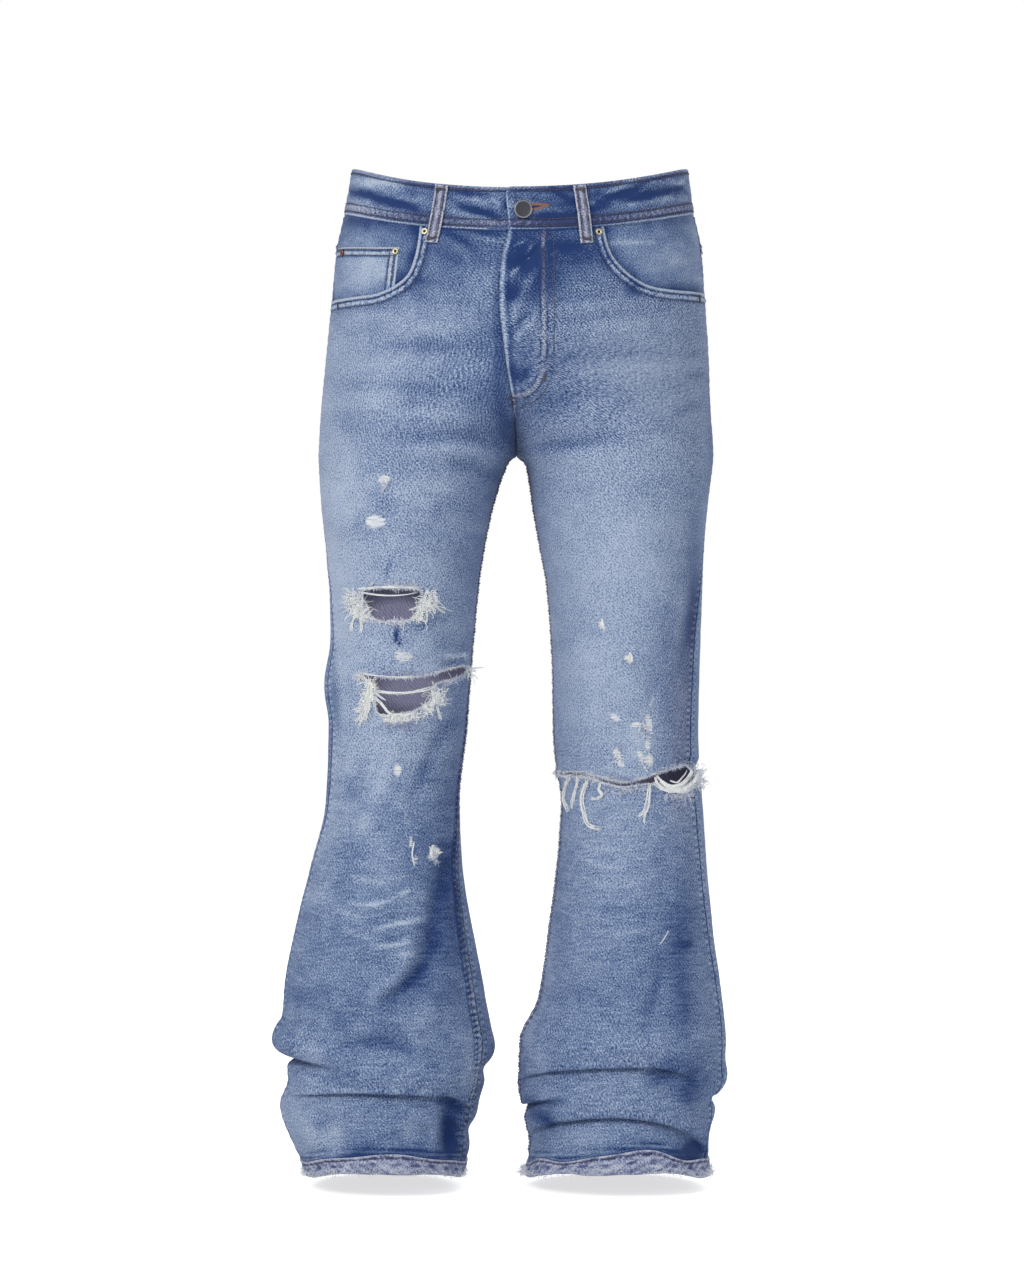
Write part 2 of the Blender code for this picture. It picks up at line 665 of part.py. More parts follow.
def metal_trim():
    """The shank button on the waistband and the four rivets at the pocket corners."""
    r = BUTTON_RADIUS
    turned("waist_button", "left", BUTTON_X, BUTTON_DROP,
           ((0, 3.4), (r * 0.74, 3.4), (r * 0.80, 3.7), (r, 3.0), (r, 1.8), (r * 0.55, 1.2),
            (r * 0.5, 0), (0, 0)), 0.3, GUNMETAL, 20)
    for name, half, x, drop, lift, colour in RIVET_ROWS:
        r = RIVET_RADIUS
        turned(name, half, x, drop, ((0, 0.9), (r * 0.35, 1.5), (r * 0.8, 1.4), (r, 0.6), (r, 0), (0, 0)),
               lift, colour, 10)


def main():
    for old in list(bpy.data.objects):
        bpy.data.objects.remove(old)
    front_panels()
    back_panels()
    pocket_facings()
    back_pockets()
    waistband()
    fly_shield()
    hems()
    belt_loops()
    metal_trim()


main()
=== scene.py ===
"""Ripped, flared five-pocket jeans in the hollow shape they have when worn.

Every piece of cloth is carried by one surface, the skin of the jeans: an outline from the front, a
profile from the side, and stack folds above the hems. Creases, seams, worn places and painted shade
are laid over it from short tables; the colour carries painted shade in troughs, grooves and folds,
and the inner face gives off painted light. Lengths in the tables are millimetres and x and z are the
place seen from the front; the meshes are in metres. +Z is up, the front faces -Y and +X is the
wearer's left.
"""

import math

import bpy
import numpy as np
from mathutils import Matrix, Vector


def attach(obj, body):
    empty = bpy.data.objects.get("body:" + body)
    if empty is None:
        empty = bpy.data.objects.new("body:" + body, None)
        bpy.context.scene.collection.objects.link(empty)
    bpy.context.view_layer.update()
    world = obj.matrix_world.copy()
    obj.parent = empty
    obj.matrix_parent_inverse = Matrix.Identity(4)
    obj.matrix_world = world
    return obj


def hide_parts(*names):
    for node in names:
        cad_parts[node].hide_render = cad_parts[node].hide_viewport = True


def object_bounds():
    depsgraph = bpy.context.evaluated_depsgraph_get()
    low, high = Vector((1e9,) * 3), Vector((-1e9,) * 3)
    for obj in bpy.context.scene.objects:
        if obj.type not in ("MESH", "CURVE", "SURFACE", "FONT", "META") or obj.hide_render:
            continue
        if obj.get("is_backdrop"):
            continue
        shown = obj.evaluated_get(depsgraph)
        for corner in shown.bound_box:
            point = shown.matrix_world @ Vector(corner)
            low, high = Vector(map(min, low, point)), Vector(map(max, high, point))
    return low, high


bl_info = {
    "name": "Ripped Flared Jeans",
    "version": (1, 0, 0),
    "blender": (4, 5, 0),
    "location": "View3D > Sidebar > Jeans",
    "description": "Builds worn, ripped and flared denim jeans with their seams, stitching and frays",
    "category": "Add Mesh",
}

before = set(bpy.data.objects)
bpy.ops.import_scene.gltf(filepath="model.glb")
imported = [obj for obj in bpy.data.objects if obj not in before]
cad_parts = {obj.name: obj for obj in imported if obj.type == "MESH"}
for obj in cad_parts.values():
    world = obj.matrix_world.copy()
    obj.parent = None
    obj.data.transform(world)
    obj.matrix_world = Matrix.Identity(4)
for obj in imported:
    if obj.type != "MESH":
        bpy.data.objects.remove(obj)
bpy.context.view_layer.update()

MM = 0.001

# ---------------------------------------------------------------- the cut, as in the solids
HEM_HEIGHT = 20.0
FULL_DROP = 1003.0
CROTCH = 287.0
LEG_TOP = CROTCH + 4  # from here down, the inner seam is a leg's own
SPLIT_TOP = 165.0
SEAT_TOP = 190.0
CROTCH_SPREAD = 8.0
CROTCH_SPREAD_FADE = 15.0
SEAM_GAP = 0.3
CLOTH_TOP = 41  # the drop from which cloth runs down out of the waistband
FRONT_DIP = 28.0
BACK_DIP = 5.0
DIP_FADE = 210.0
HEM_RISE = 12.0
HEM_TRAIL = 6.0
HEM_FADE = 150.0
PANEL_END = FULL_DROP - HEM_HEIGHT - SEAM_GAP
CLOTH_END = PANEL_END + 13  # and to which it runs down into the hem
HEM_END = FULL_DROP - 0.6
FAR = 60.0  # an edge or seam farther off than this doesn't show

OUTLINE = ("drop", "outer", "inner")
OUTLINE_RIGHT = (
    (0, -168, 0),
    (46, -176, 0),
    (80, -183, 0),
    (132, -188, 0),
    (191, -194, 0),
    (240, -198.5, 0),
    (CROTCH, -201.5, -3.5),
    (291, -201.3, -5),
    (297, -201, -10),
    (312, -200, -18.5),
    (337, -198, -27),
    (391, -192, -38),
    (425, -189.5, -42.5),
    (470, -189.5, -47),
    (515, -195, -50.5),
    (555, -191, -53),
    (632, -194, -60.5),
    (690, -207, -58),
    (753, -222.5, -48.5),
    (827, -235.5, -34),
    (870, -237, -28),
    (907, -231, -34),
    (932, -239, -43),
    (985, -220, -52),
    (1003, -213, -57),
)
OUTLINE_LEFT = (
    (0, 168, 0),
    (46, 174, 0),
    (80, 181, 0),
    (132, 185, 0),
    (191, 188.5, 0),
    (240, 190.5, 0),
    (CROTCH, 193, -3.5),
    (291, 192.7, -2),
    (297, 192, 3),
    (312, 190, 8),
    (337, 187, 13),
    (391, 182.5, 23),
    (425, 182, 28),
    (508, 179, 33),
    (570, 178, 34.5),
    (632, 182, 42),
    (690, 186, 37.5),
    (753, 192, 29),
    (827, 202, 18),
    (870, 206, 0),
    (932, 197, 2),
    (970, 188, 9),
    (1003, 189, 6),
)
PROFILE = ("drop", "front", "back", "squareness")
PROFILE_ROWS = (
    (0, 105, 108, 2.30),
    (46, 108, 113, 2.30),
    (80, 111, 119, 2.30),
    (132, 114, 127, 2.30),
    (191, 115, 132, 2.25),
    (240, 112, 130, 2.20),
    (CROTCH, 108, 120, 2.15),
    (354, 101, 101, 2.10),
    (425, 96, 88, 2.05),
    (508, 90, 76, 2.00),
    (570, 84, 67, 2.00),
    (632, 82, 66, 2.00),
    (690, 84, 70, 2.00),
    (753, 86, 74, 2.00),
    (827, 85, 76, 2.05),
    (870, 85, 77, 2.10),
    (932, 92, 84, 2.10),
    (1003, 98, 94, 2.10),
)
CENTRE = ("drop", "front_x", "back_x")
CENTRE_ROWS = (
    (0, -15, 0),
    (46, -11, 0),
    (82, -17, 0),
    (130, -18.5, 0),
    (170, -16, 0),
    (205, -12, -1),
    (240, -5.5, -3),
    (CROTCH, -3.5, -3.5),
)
TURN = ("drop", "outseam_right", "inseam_right", "outseam_left", "inseam_left")
TURN_ROWS = (
    (0, 0, 0, 0, 0),
    (330, 0, 0, 0, 0),
    (470, 20, 0, 26, 0),
    (590, 22, 4, 30, 0),
    (710, 12, 20, 26, 6),
    (830, 6, 26, 20, 6),
    (920, 8, 24, 18, 4),
    (1003, 8, 22, 16, 4),
)
# Stack folds above the hems. Angles go round the leg from the inseam (0) by the front (90) to the
# outseam (180) and the back (270). tuck is how far the upper roll hangs over its crease.
# Columns: peak angle, inner and outer end angle, drops at those three, depth, reach, tuck.
FOLDS_RIGHT = (
    (178, 104, 250, 875, 898, 886, 29, 24, 2.4),
    (100, 16, 164, 911, 936, 925, 15, 28, 5.2),
    (40, -70, 76, 950, 958, 954, 7, 28, 0.0),
    (-35, -110, 30, 890, 904, 890, 13, 28, 0.4),
    (262, 205, 335, 935, 944, 948, 16, 30, 3.5),
    (300, 235, 350, 880, 890, 884, 10, 28, 2.5),
)
FOLDS_LEFT = (
    (94, -8, 144, 883, 916, 914, 14, 28, 5.4),
    (10, -60, 66, 927, 934, 920, 10, 24, 3.4),
    (84, 4, 172, 937, 966, 988, 15, 24, 5.4),
    (185, 140, 262, 918, 925, 924, 13, 26, 0.6),
    (285, 215, 345, 895, 908, 905, 15, 30, 3.5),
    (245, 190, 325, 948, 955, 958, 12, 26, 2.5),
)

# ---------------------------------------------------------------- creases laid over the skin
# Each runs through three points seen from the front (or from behind, for the back). A positive
# rise is a ridge, a negative one a trough; tone makes it paler or deeper blue: the deeper blue of a
# trough is painted shade, the paler ridge partly worn and partly painted highlight.
# Columns: x and z of the three points, width, rise, tone.
CREASES = {
    ("right", "front"): (
        # whiskers over the hip and the crotch
        (-107, -119, -70, -121, -33, -123, 5.5, -1.1, -0.10),
        (-111, -142, -70, -141, -30, -140, 5, -0.8, -0.08),
        (-180, -155, -146, -155, -112, -151, 6, 1.0, 0.10),
        (-132, -166, -84, -167, -34, -169, 7, 1.2, 0.11),
        (-148, -179, -102, -183, -58, -187, 6.5, -2.2, -0.18),
        (-182, -199, -100, -201, -26, -203, 8, 1.2, 0.09),
        (-186, -219, -123, -223, -24, -230, 6, -1.5, -0.14),
        (-132, -250, -80, -251, -24, -252, 7, 1.2, 0.10),
        (-188, -252, -170, -255, -150, -257, 6, -1.2, -0.11),
        (-136, -270, -83, -273, -14, -273, 6.5, -2.2, -0.19),
        (-144, -280, -84, -284, -24, -286, 6, 1.2, 0.09),
        (-74, -297, -46, -302, -22, -308, 6, -2.0, -0.18),
        (-96, -372, -72, -345, -46, -318, 8, -1.0, -0.06),
        # under the waistband
        (-78, -71, -56, -81, -40, -94, 2.8, -1.2, -0.28),
        (-70, -80, -58, -91, -49, -104, 2.6, 0.9, 0.18),
        (-50, -69, -30, -74, -15, -77, 2.4, -1.0, -0.30),
        (-48, -76, -29, -81, -15, -83, 1.8, 0.9, 0.34),
        # thigh and knee
        (-60, -420, -74, -470, -62, -520, 12, -1.6, -0.06),
        (-104, -462, -90, -450, -70, -452, 6, -1.6, -0.16),
        (-130, -390, -128, -398, -131, -408, 1.8, -1.2, -0.36),
        (-119, -456, -121, -467, -116, -478, 2.2, -2.6, -0.90),
        (-78, -488, -66, -483, -52, -485, 3.2, 2.4, 0.16),
        (-80, -494, -66, -491, -54, -491, 2.4, -1.4, -0.20),
        (-123, -566, -142, -630, -162, -666, 8, 1.8, 0.13),
        (-152, -578, -164, -612, -176, -646, 8, -1.6, -0.10),
        (-58, -536, -84, -578, -111, -642, 6.5, -3.0, -0.20),
        # shin, with the long trough that turns under the calf
        (-70, -664, -79, -712, -86, -756, 8, -4.0, -0.20),
        (-82, -738, -96, -792, -144, -834, 7.5, -6.0, -0.30),
        (-104, -748, -120, -798, -154, -824, 8, 5.0, 0.18),
        (-62, -800, -90, -832, -120, -846, 18, 2.6, 0.03),
        (-178, -870, -142, -864, -102, -872, 6, -3.2, -0.26),
        (-175, -881, -142, -877, -106, -884, 7, 1.2, 0.05),
        (-84, -920, -66, -926, -55, -938, 4.5, -4.5, -0.34),
        (-68, -924, -70, -950, -66, -980, 7, -8.0, -0.44),
        (-88, -926, -86, -950, -84, -976, 8, 2.6, 0.12),
        (-56, -936, -56, -952, -60, -972, 7, 3.0, 0.02),
        (-190, -930, -192, -952, -188, -974, 8, -2.4, -0.08),
        (-206, -936, -206, -954, -200, -974, 9, 2.4, 0.12),
        # thin crinkles across the shin
        (-170, -727, -148, -730, -119, -722, 1.9, 1.2, 0.60),
        (-121, -720, -114, -718, -107, -714, 1.9, 1.2, 0.50),
        (-145, -754, -125, -749, -90, -742, 2.0, 1.2, 0.66),
        (-145, -770, -125, -769, -104, -764, 1.9, 1.1, 0.56),
        (-120, -778, -111, -778, -102, -776, 1.8, 0.8, 0.40),
        (-176, -696, -158, -704, -128, -709, 1.8, 0.8, 0.30),
        (-168, -684, -140, -692, -112, -690, 1.6, 0.5, 0.10),
        (-184, -732, -164, -740, -146, -744, 1.9, 0.6, 0.26),
        (-176, -752, -156, -760, -142, -762, 1.9, 0.7, 0.32),
        (-160, -740, -140, -744, -112, -738, 1.8, -0.6, -0.12),
        (-150, -760, -128, -761, -106, -756, 2.0, -0.6, -0.10),
    ),
    ("left", "front"): (
        # short pale crinkles at the top of the fly
        (7, -80, -1, -85, -9, -88, 1.6, 0.9, 0.44),
        (17, -83, 11, -89, 4, -97, 1.6, 0.9, 0.44),
        (25, -79, 21, -86, 16, -94, 1.6, 0.9, 0.44),
        (40, -90, 35, -92, 30, -97, 1.8, 0.8, 0.34),
        (1, -103, -4, -110, -12, -118, 1.8, 0.9, 0.38),
        # whiskers over the hip and the crotch
        (32, -149, 76, -144, 124, -139, 5, 0.9, 0.09),
        (30, -163, 80, -155, 162, -142, 5, -1.0, -0.11),
        (40, -169, 84, -164, 130, -160, 6, 1.1, 0.10),
        (22, -198, 80, -193, 150, -188, 6, -1.5, -0.14),
        (40, -210, 100, -206, 163, -204, 7, 1.2, 0.10),
        (2, -250, 40, -234, 130, -226, 6, -1.5, -0.13),
        (16, -263, 48, -260, 84, -257, 7, 1.2, 0.09),
        (-2, -284, 47, -279, 108, -269, 5.5, -2.8, -0.25),
        (20, -297, 70, -294, 126, -290, 8, 1.2, 0.07),
        (160, -189, 168, -188, 178, -186, 3.5, -1.2, -0.20),
        (164, -212, 174, -209, 184, -206, 3.5, -1.2, -0.20),
        (148, -250, 164, -243, 180, -235, 5, -1.4, -0.22),
        # puckers beside the fly
        (-12, -101, -1, -105, 13, -95, 4.0, -2.4, -0.50),
        (-2, -104, 9, -96, 22, -84, 3.2, -1.9, -0.42),
        (-9, -116, 5, -99, 12, -81, 1.9, 1.2, 0.50),
        (-12, -122, -5, -136, 4, -124, 5.5, -2.2, -0.44),
        (22, -101, 2, -132, -10, -166, 4.4, 2.2, 0.42),
        (16, -154, 6, -166, -6, -180, 3.2, 1.2, 0.26),
        (12, -150, 2, -158, -4, -168, 2.6, -1.0, -0.26),
        (-13, -204, 0, -214, 13, -205, 6.5, -1.4, -0.36),
        (24, -80, 40, -88, 62, -84, 4.0, -1.4, -0.34),
        (30, -92, 46, -97, 66, -93, 3.4, 1.1, 0.16),
        (12, -72, 20, -82, 24, -94, 2.0, 0.8, 0.20),
        # thigh, knee and shin
        (166, -398, 158, -440, 148, -490, 5, 1.0, 0.10),
        (174, -404, 168, -446, 158, -500, 6, -1.6, -0.12),
        (150, -440, 144, -500, 140, -560, 14, -1.8, -0.08),
        (128, -500, 130, -535, 126, -575, 6, -1.8, -0.05),
        (60, -470, 70, -520, 66, -570, 16, 1.2, 0.04),
        (150, -586, 168, -593, 184, -598, 5, -6.0, -0.05),
        (60, -640, 66, -720, 50, -800, 18, 1.6, 0.04),
        (150, -640, 140, -720, 150, -800, 14, -1.8, -0.06),
        (160, -690, 160, -760, 168, -830, 10, 1.6, 0.02),
        (148, -771, 160, -769, 174, -772, 5, -1.5, -0.18),
        (140, -778, 131, -817, 121, -856, 5, -2.4, -0.18),
        (20, -862, 60, -852, 110, -858, 12, 1.6, 0.03),
        (120, -892, 140, -903, 158, -914, 8, -3.0, -0.12),
        (0, -926, 22, -926, 48, -921, 3.2, -1.4, -0.34),
        (8, -938, 22, -940, 36, -950, 7, -1.4, -0.20),
        (158, -968, 168, -974, 178, -984, 9, -4.0, -0.30),
        # thin crinkles across the shin
        (56, -668, 84, -676, 112, -672, 1.9, 0.7, 0.18),
        (60, -684, 84, -692, 104, -694, 1.9, 0.7, 0.20),
        (60, -705, 90, -712, 126, -706, 2.0, 0.7, 0.20),
        (52, -728, 84, -734, 120, -730, 2.0, -0.7, -0.16),
        (60, -752, 96, -758, 132, -750, 2.0, 0.7, 0.18),
        (50, -778, 84, -784, 112, -780, 2.0, -0.5, -0.07),
    ),
    ("right", "back"): (
        # seat, back of the thigh and of the knee
        (-40, -262, -90, -290, -150, -286, 12, -4.0, -0.10),
        (-40, -300, -80, -328, -130, -330, 12, 2.6, 0.05),
        (-150, -340, -110, -356, -60, -344, 10, -2.6, -0.06),
        (-170, -560, -120, -572, -70, -556, 8, -3.4, -0.14),
        (-172, -590, -124, -602, -76, -590, 9, 2.4, 0.08),
        (-176, -622, -130, -612, -80, -626, 7, -3.0, -0.12),
        (-160, -654, -120, -646, -84, -660, 9, -2.0, -0.08),
        (-190, -780, -140, -800, -90, -790, 14, -3.0, -0.06),
        (-120, -700, -130, -760, -120, -840, 18, 2.0, 0.03),
    ),
    ("left", "back"): (
        # seat, back of the thigh and of the knee
        (36, -264, 84, -294, 146, -288, 12, -4.0, -0.10),
        (40, -302, 84, -334, 132, -334, 12, 2.6, 0.05),
        (150, -344, 104, -362, 52, -350, 10, -2.4, -0.06),
        (164, -556, 110, -570, 50, -562, 8, -3.2, -0.14),
        (166, -588, 116, -598, 52, -590, 9, 2.4, 0.08),
        (170, -618, 116, -610, 56, -624, 7, -3.0, -0.12),
        (150, -650, 104, -644, 62, -652, 9, -2.0, -0.08),
        (180, -790, 120, -806, 50, -796, 14, -3.0, -0.06),
        (110, -700, 112, -760, 100, -840, 18, 2.0, 0.03),
        (150, -590, 172, -595, 186, -598, 5, -6.0, -0.05),
    ),
}

# How worn the denim is down each leg, at the outseam, in the middle and at the inseam, with painted
# shade: the lower values towards the side of each leg turned from the light are partly painted shade.
WEAR = ("drop", "outer", "middle", "inner")
WEAR_AND_SHADE_RIGHT = (
    (46, 0.62, 0.48, 0.40),
    (110, 0.50, 0.40, 0.40),
    (150, 0.66, 0.60, 0.46),
    (200, 0.74, 0.70, 0.34),
    (262, 0.70, 0.58, 0.24),
    (310, 0.80, 0.67, 0.30),
    (380, 0.86, 0.73, 0.42),
    (450, 0.88, 0.74, 0.42),
    (520, 0.80, 0.76, 0.44),
    (600, 0.70, 0.62, 0.34),
    (680, 0.62, 0.54, 0.22),
    (760, 0.52, 0.50, 0.22),
    (840, 0.42, 0.40, 0.38),
    (900, 0.50, 0.46, 0.42),
    (955, 0.60, 0.42, 0.22),
    (975, 0.60, 0.34, 0.28),
    (984, 0.52, 0.24, 0.40),
)
WEAR_AND_SHADE_LEFT = (
    (46, 0.52, 0.46, 0.26),
    (110, 0.46, 0.36, 0.24),
    (150, 0.50, 0.60, 0.34),
    (200, 0.52, 0.66, 0.30),
    (262, 0.52, 0.60, 0.30),
    (310, 0.50, 0.74, 0.48),
    (380, 0.44, 0.78, 0.58),
    (450, 0.38, 0.78, 0.66),
    (520, 0.44, 0.78, 0.66),
    (600, 0.52, 0.68, 0.62),
    (680, 0.46, 0.60, 0.52),
    (760, 0.40, 0.50, 0.50),
    (840, 0.44, 0.46, 0.46),
    (900, 0.40, 0.52, 0.36),
    (955, 0.38, 0.50, 0.44),
    (975, 0.32, 0.42, 0.50),
    (984, 0.34, 0.28, 0.46),
)
WEAR_BACK = (
    (46, 0.42, 0.42, 0.36),
    (150, 0.46, 0.60, 0.40),
    (230, 0.50, 0.72, 0.44),
    (290, 0.46, 0.52, 0.34),
    (420, 0.46, 0.58, 0.40),
    (560, 0.42, 0.52, 0.38),
    (700, 0.44, 0.56, 0.42),
    (860, 0.42, 0.48, 0.40),
    (960, 0.40, 0.44, 0.38),
    (984, 0.34, 0.26, 0.34),
)
# Soft local patches, paler or darker, a blurred ellipse each; many of the darker ones are painted
# shade: under the waistband, beside the fly, in the folds above the hems and along the outer side of
# the left hip and thigh. Columns: x, z, half sizes across and down, tilt, amount.
PATCHES = {
    ("right", "front"): (
        (-62, -88, 44, 20, 0, -0.20),
        (-184, -520, 6, 50, 4, -0.38),
        (-176, -310, 16, 60, 0, 0.10),
        (-46, -895, 12, 30, 0, 0.16),
        (-186, -958, 12, 14, 0, 0.20),
        (-168, -700, 16, 50, 0, -0.12),
        (-100, -124, 16, 10, 0, -0.20),
        (-68, -856, 22, 30, 0, 0.10),
        (-144, -88, 18, 12, 0, 0.24),
        (-180, -952, 12, 36, 0, 0.16),
        (-106, -945, 10, 18, 0, 0.24),
        (-130, -967, 14, 14, 0, 0.10),
        (-56, -945, 10, 20, 0, -0.12),
        (-155, -847, 12, 12, 0, 0.16),
        (-180, -890, 10, 14, 0, -0.12),
        (-32, -820, 8, 44, 0, 0.20),
        (-48, -860, 22, 90, 0, 0.07),
        (-30, -920, 10, 20, 0, 0.10),
        (-96, -838, 10, 12, 0, 0.12),
        (-106, -555, 10, 8, 0, 0.10),
        (-36, -624, 8, 14, 0, 0.14),
        (-42, -810, 10, 40, 0, 0.10),
        (-42, -925, 8, 14, 0, 0.14),
        (-92, -700, 14, 16, 0, 0.06),
        (-196, -980, 12, 8, 0, 0.16),
        (-70, -958, 8, 26, 0, -0.16),
        (-150, -232, 26, 20, 0, 0.09),
        (-84, -262, 24, 26, 0, 0.06),
        (-205, -882, 10, 10, 0, 0.18),
        (-160, -950, 12, 14, 0, 0.08),
        (-20, -165, 7, 66, 0, -0.28),
        (-34, -175, 14, 60, 0, -0.05),
        (-16, -256, 8, 36, 8, -0.14),
        (-70, -268, 34, 9, -12, -0.06),
        (-104, -462, 26, 7, 24, -0.14),
        (-133, -336, 9, 13, 0, -0.18),
        (-118, -545, 24, 8, 0, 0.12),
        (-90, -690, 22, 40, 14, -0.06),
        (-74, -760, 18, 60, 0, -0.10),
        (-140, -858, 40, 9, 0, -0.10),
        (-86, -948, 9, 26, 0, 0.08),
        (-212, -950, 18, 26, 0, 0.16),
        (-206, -906, 22, 14, 20, 0.12),
        (-140, -976, 44, 6, 0, -0.20),
    ),
    ("left", "front"): (
        (52, -92, 44, 22, 0, -0.18),
        (158, -770, 13, 66, 0, -0.24),
        (170, -906, 16, 16, 0, -0.26),
        (142, -974, 44, 7, 0, -0.18),
        (64, -956, 20, 12, 0, 0.12),
        (150, -330, 34, 20, -20, -0.08),
        (26, -780, 8, 60, 0, 0.10),
        (20, -468, 14, 60, 0, 0.10),
        (8, -112, 14, 30, 8, -0.22),
        (-6, -140, 9, 24, 0, -0.12),
        (8, -275, 12, 26, 0, 0.08),
        (6, -858, 9, 22, 0, 0.22),
        (156, -888, 20, 14, 0, -0.20),
        (132, -784, 22, 44, 0, -0.10),
        (10, -94, 22, 18, 0, -0.40),
        (52, -92, 26, 12, 0, -0.26),
        (24, -122, 18, 16, 0, -0.20),
        (112, -124, 8, 12, 0, -0.34),
        (17, -774, 8, 22, 0, 0.28),
        (30, -454, 8, 12, 0, 0.12),
        (158, -570, 18, 24, 0, -0.12),
        (112, -104, 10, 10, 0, -0.16),
        (18, -893, 12, 24, 0, 0.18),
        (139, -893, 12, 12, 0, -0.20),
        (163, -918, 12, 12, 0, -0.20),
        (193, -260, 8, 90, 0, -0.26),
        (172, -420, 8, 90, 0, -0.14),
        (26, -752, 8, 60, 0, 0.10),
        (104, -97, 18, 10, 0, -0.16),
        (128, -980, 26, 9, 0, -0.18),
        (52, -978, 22, 8, 0, 0.18),
        (118, -572, 15, 24, 0, 0.18),
        (130, -536, 9, 14, 0, 0.12),
        (170, -470, 12, 120, 0, -0.12),
        (80, -604, 40, 6, 0, 0.10),
        (162, -826, 14, 30, 0, -0.16),
        (166, -700, 10, 50, 0, -0.08),
        (24, -941, 15, 9, -30, -0.26),
        (174, -972, 12, 10, -20, -0.22),
        (20, -600, 8, 60, 0, 0.06),
    ),
    ("right", "back"): (
        (-196, -600, 24, 60, 0, -0.14),
    ),
}


# ---------------------------------------------------------------- curves through the tables
def through(rows, names, name, at):
    """The column `name` at the drops `at`, by a monotone cubic through the rows: slopes are the
    weighted harmonic means of neighbouring chords, and zero where the chords change sign."""
    xs = np.array([row[0] for row in rows], float)
    ys = np.array([row[names.index(name)] for row in rows], float)
    step = np.diff(xs)
    slope = np.diff(ys) / step
    tangent = np.concatenate([slope[:1], np.zeros(len(xs) - 2), slope[-1:]])
    before, after = slope[:-1], slope[1:]
    w_before = 2 * step[1:] + step[:-1]
    w_after = step[1:] + 2 * step[:-1]
    with np.errstate(divide="ignore", invalid="ignore"):
        mean = (w_before + w_after) / (w_before / before + w_after / after)
    tangent[1:-1] = np.where(before * after > 0, mean, 0)
    at = np.clip(np.asarray(at, float), xs[0], xs[-1])
    k = np.clip(np.searchsorted(xs, at, side="right") - 1, 0, len(step) - 1)
    t = (at - xs[k]) / step[k]
    return (
        (1 + 2 * t) * (1 - t) ** 2 * ys[k]
        + t * (1 - t) ** 2 * step[k] * tangent[k]
        + t * t * (3 - 2 * t) * ys[k + 1]
        + t * t * (t - 1) * step[k] * tangent[k + 1]
    )


def smooth(value, start=0, width=1):
    """Smooth step 3t^2 - 2t^3 of t = (value - start) / width, held at 0 and 1 outside."""
    t = np.clip((value - start) / width, 0, 1)
    return t * t * (3 - 2 * t)


def bell(value, middle=0, width=1):
    """Bell curve exp(-t^2) of t = (value - middle) / width."""
    return np.exp(-np.square((value - middle) / width))


def blot(x, z, middle_x, middle_z, across, down, tilt=0, power=2):
    """Blurred ellipse exp(-r^power): r is 1 on its edge, at the half sizes across and down."""
    c, s = math.cos(math.radians(tilt)), math.sin(math.radians(tilt))
    u, v = (x - middle_x) * c + (z - middle_z) * s, (z - middle_z) * c - (x - middle_x) * s
    return np.exp(-np.hypot(u / across, v / down) ** power)


def noise(x, y, seed=0):
    """Value noise from 0 to 1: hashed values at whole x and y, blended by smooth steps."""
    xi, yi = np.floor(x).astype(np.int64), np.floor(y).astype(np.int64)
    fx, fy = smooth(x - xi), smooth(y - yi)

    def corner(a, b):
        n = (a * 374761393 + b * 668265263 + (seed + 1) * 974711) & 0x7FFFFFFF
        n = ((n ^ (n >> 13)) * 1274126177) & 0x7FFFFFFF
        return ((n ^ (n >> 16)) & 0xFFFF) / 65535.0

    low = corner(xi, yi) * (1 - fx) + corner(xi + 1, yi) * fx
    high = corner(xi, yi + 1) * (1 - fx) + corner(xi + 1, yi + 1) * fx
    return low * (1 - fy) + high * fy


def catmull_rom(a, b, c, d, t):
    """Points from b (t = 0) to c (t = 1) on the spline that comes from a and goes on to d."""
    return 0.5 * (2 * b + (c - a) * t + (2 * a - 5 * b + 4 * c - d) * t**2 + (3 * b - a - 3 * c + d) * t**3)


def curve_through(points, count):
    """Evenly spaced points on a Catmull-Rom curve through the given points."""
    p = np.array(points, float)
    p = np.concatenate([[2 * p[0] - p[1]], p, [2 * p[-1] - p[-2]]])[:, None]
    t = np.linspace(0, 1, 16, endpoint=False)[None, :, None]
    spans = catmull_rom(p[:-3], p[1:-2], p[2:-1], p[3:], t)
    return resample(np.vstack([spans.reshape(-1, p.shape[-1]), p[-2]]), count)


def travelled(points):
    """Distance along a line to each of its points."""
    return np.concatenate([[0], np.cumsum(np.linalg.norm(np.diff(points, axis=0), axis=1))])


def resample(points, count):
    """The same line with evenly spaced points."""
    far = travelled(points)
    at = np.linspace(0, far[-1], count)
    return np.stack([np.interp(at, far, points[:, i]) for i in range(points.shape[1])], -1)


def unit(vectors):
    """The same directions at length 1."""
    return vectors / np.maximum(np.linalg.norm(vectors, axis=-1, keepdims=True), 1e-9)


# ---------------------------------------------------------------- the skin of the jeans
def section(half, face, drop):
    """The superellipse of one half at a drop: middle x, half width (signed towards the inner side),
    middle y, half depth, power, and the angle at which the half starts.

    Above SPLIT_TOP a half is a quarter ellipse from centre seam to side seam. Down to the crotch
    its middle moves outwards and the start angle falls to 0; below that each leg is a whole one."""
    rows = OUTLINE_RIGHT if half == "right" else OUTLINE_LEFT
    outer = through(rows, OUTLINE, "outer", drop)
    leg_inner = through(rows, OUTLINE, "inner", np.maximum(drop, CROTCH))
    centre = through(CENTRE_ROWS, CENTRE, face + "_x", np.minimum(drop, CROTCH))
    inner = np.where(drop > CROTCH, leg_inner, centre)
    front = through(PROFILE_ROWS, PROFILE, "front", drop)
    back = through(PROFILE_ROWS, PROFILE, "back", drop)
    power = through(PROFILE_ROWS, PROFILE, "squareness", drop)
    split = smooth((drop - SPLIT_TOP) / (CROTCH - SPLIT_TOP))
    half_width = (inner - outer) / (1 + split)
    start = np.arccos(np.clip(split ** (power / 2), 0, 1))
    return outer + half_width, half_width, (back - front) / 2, (back + front) / 2, power, start


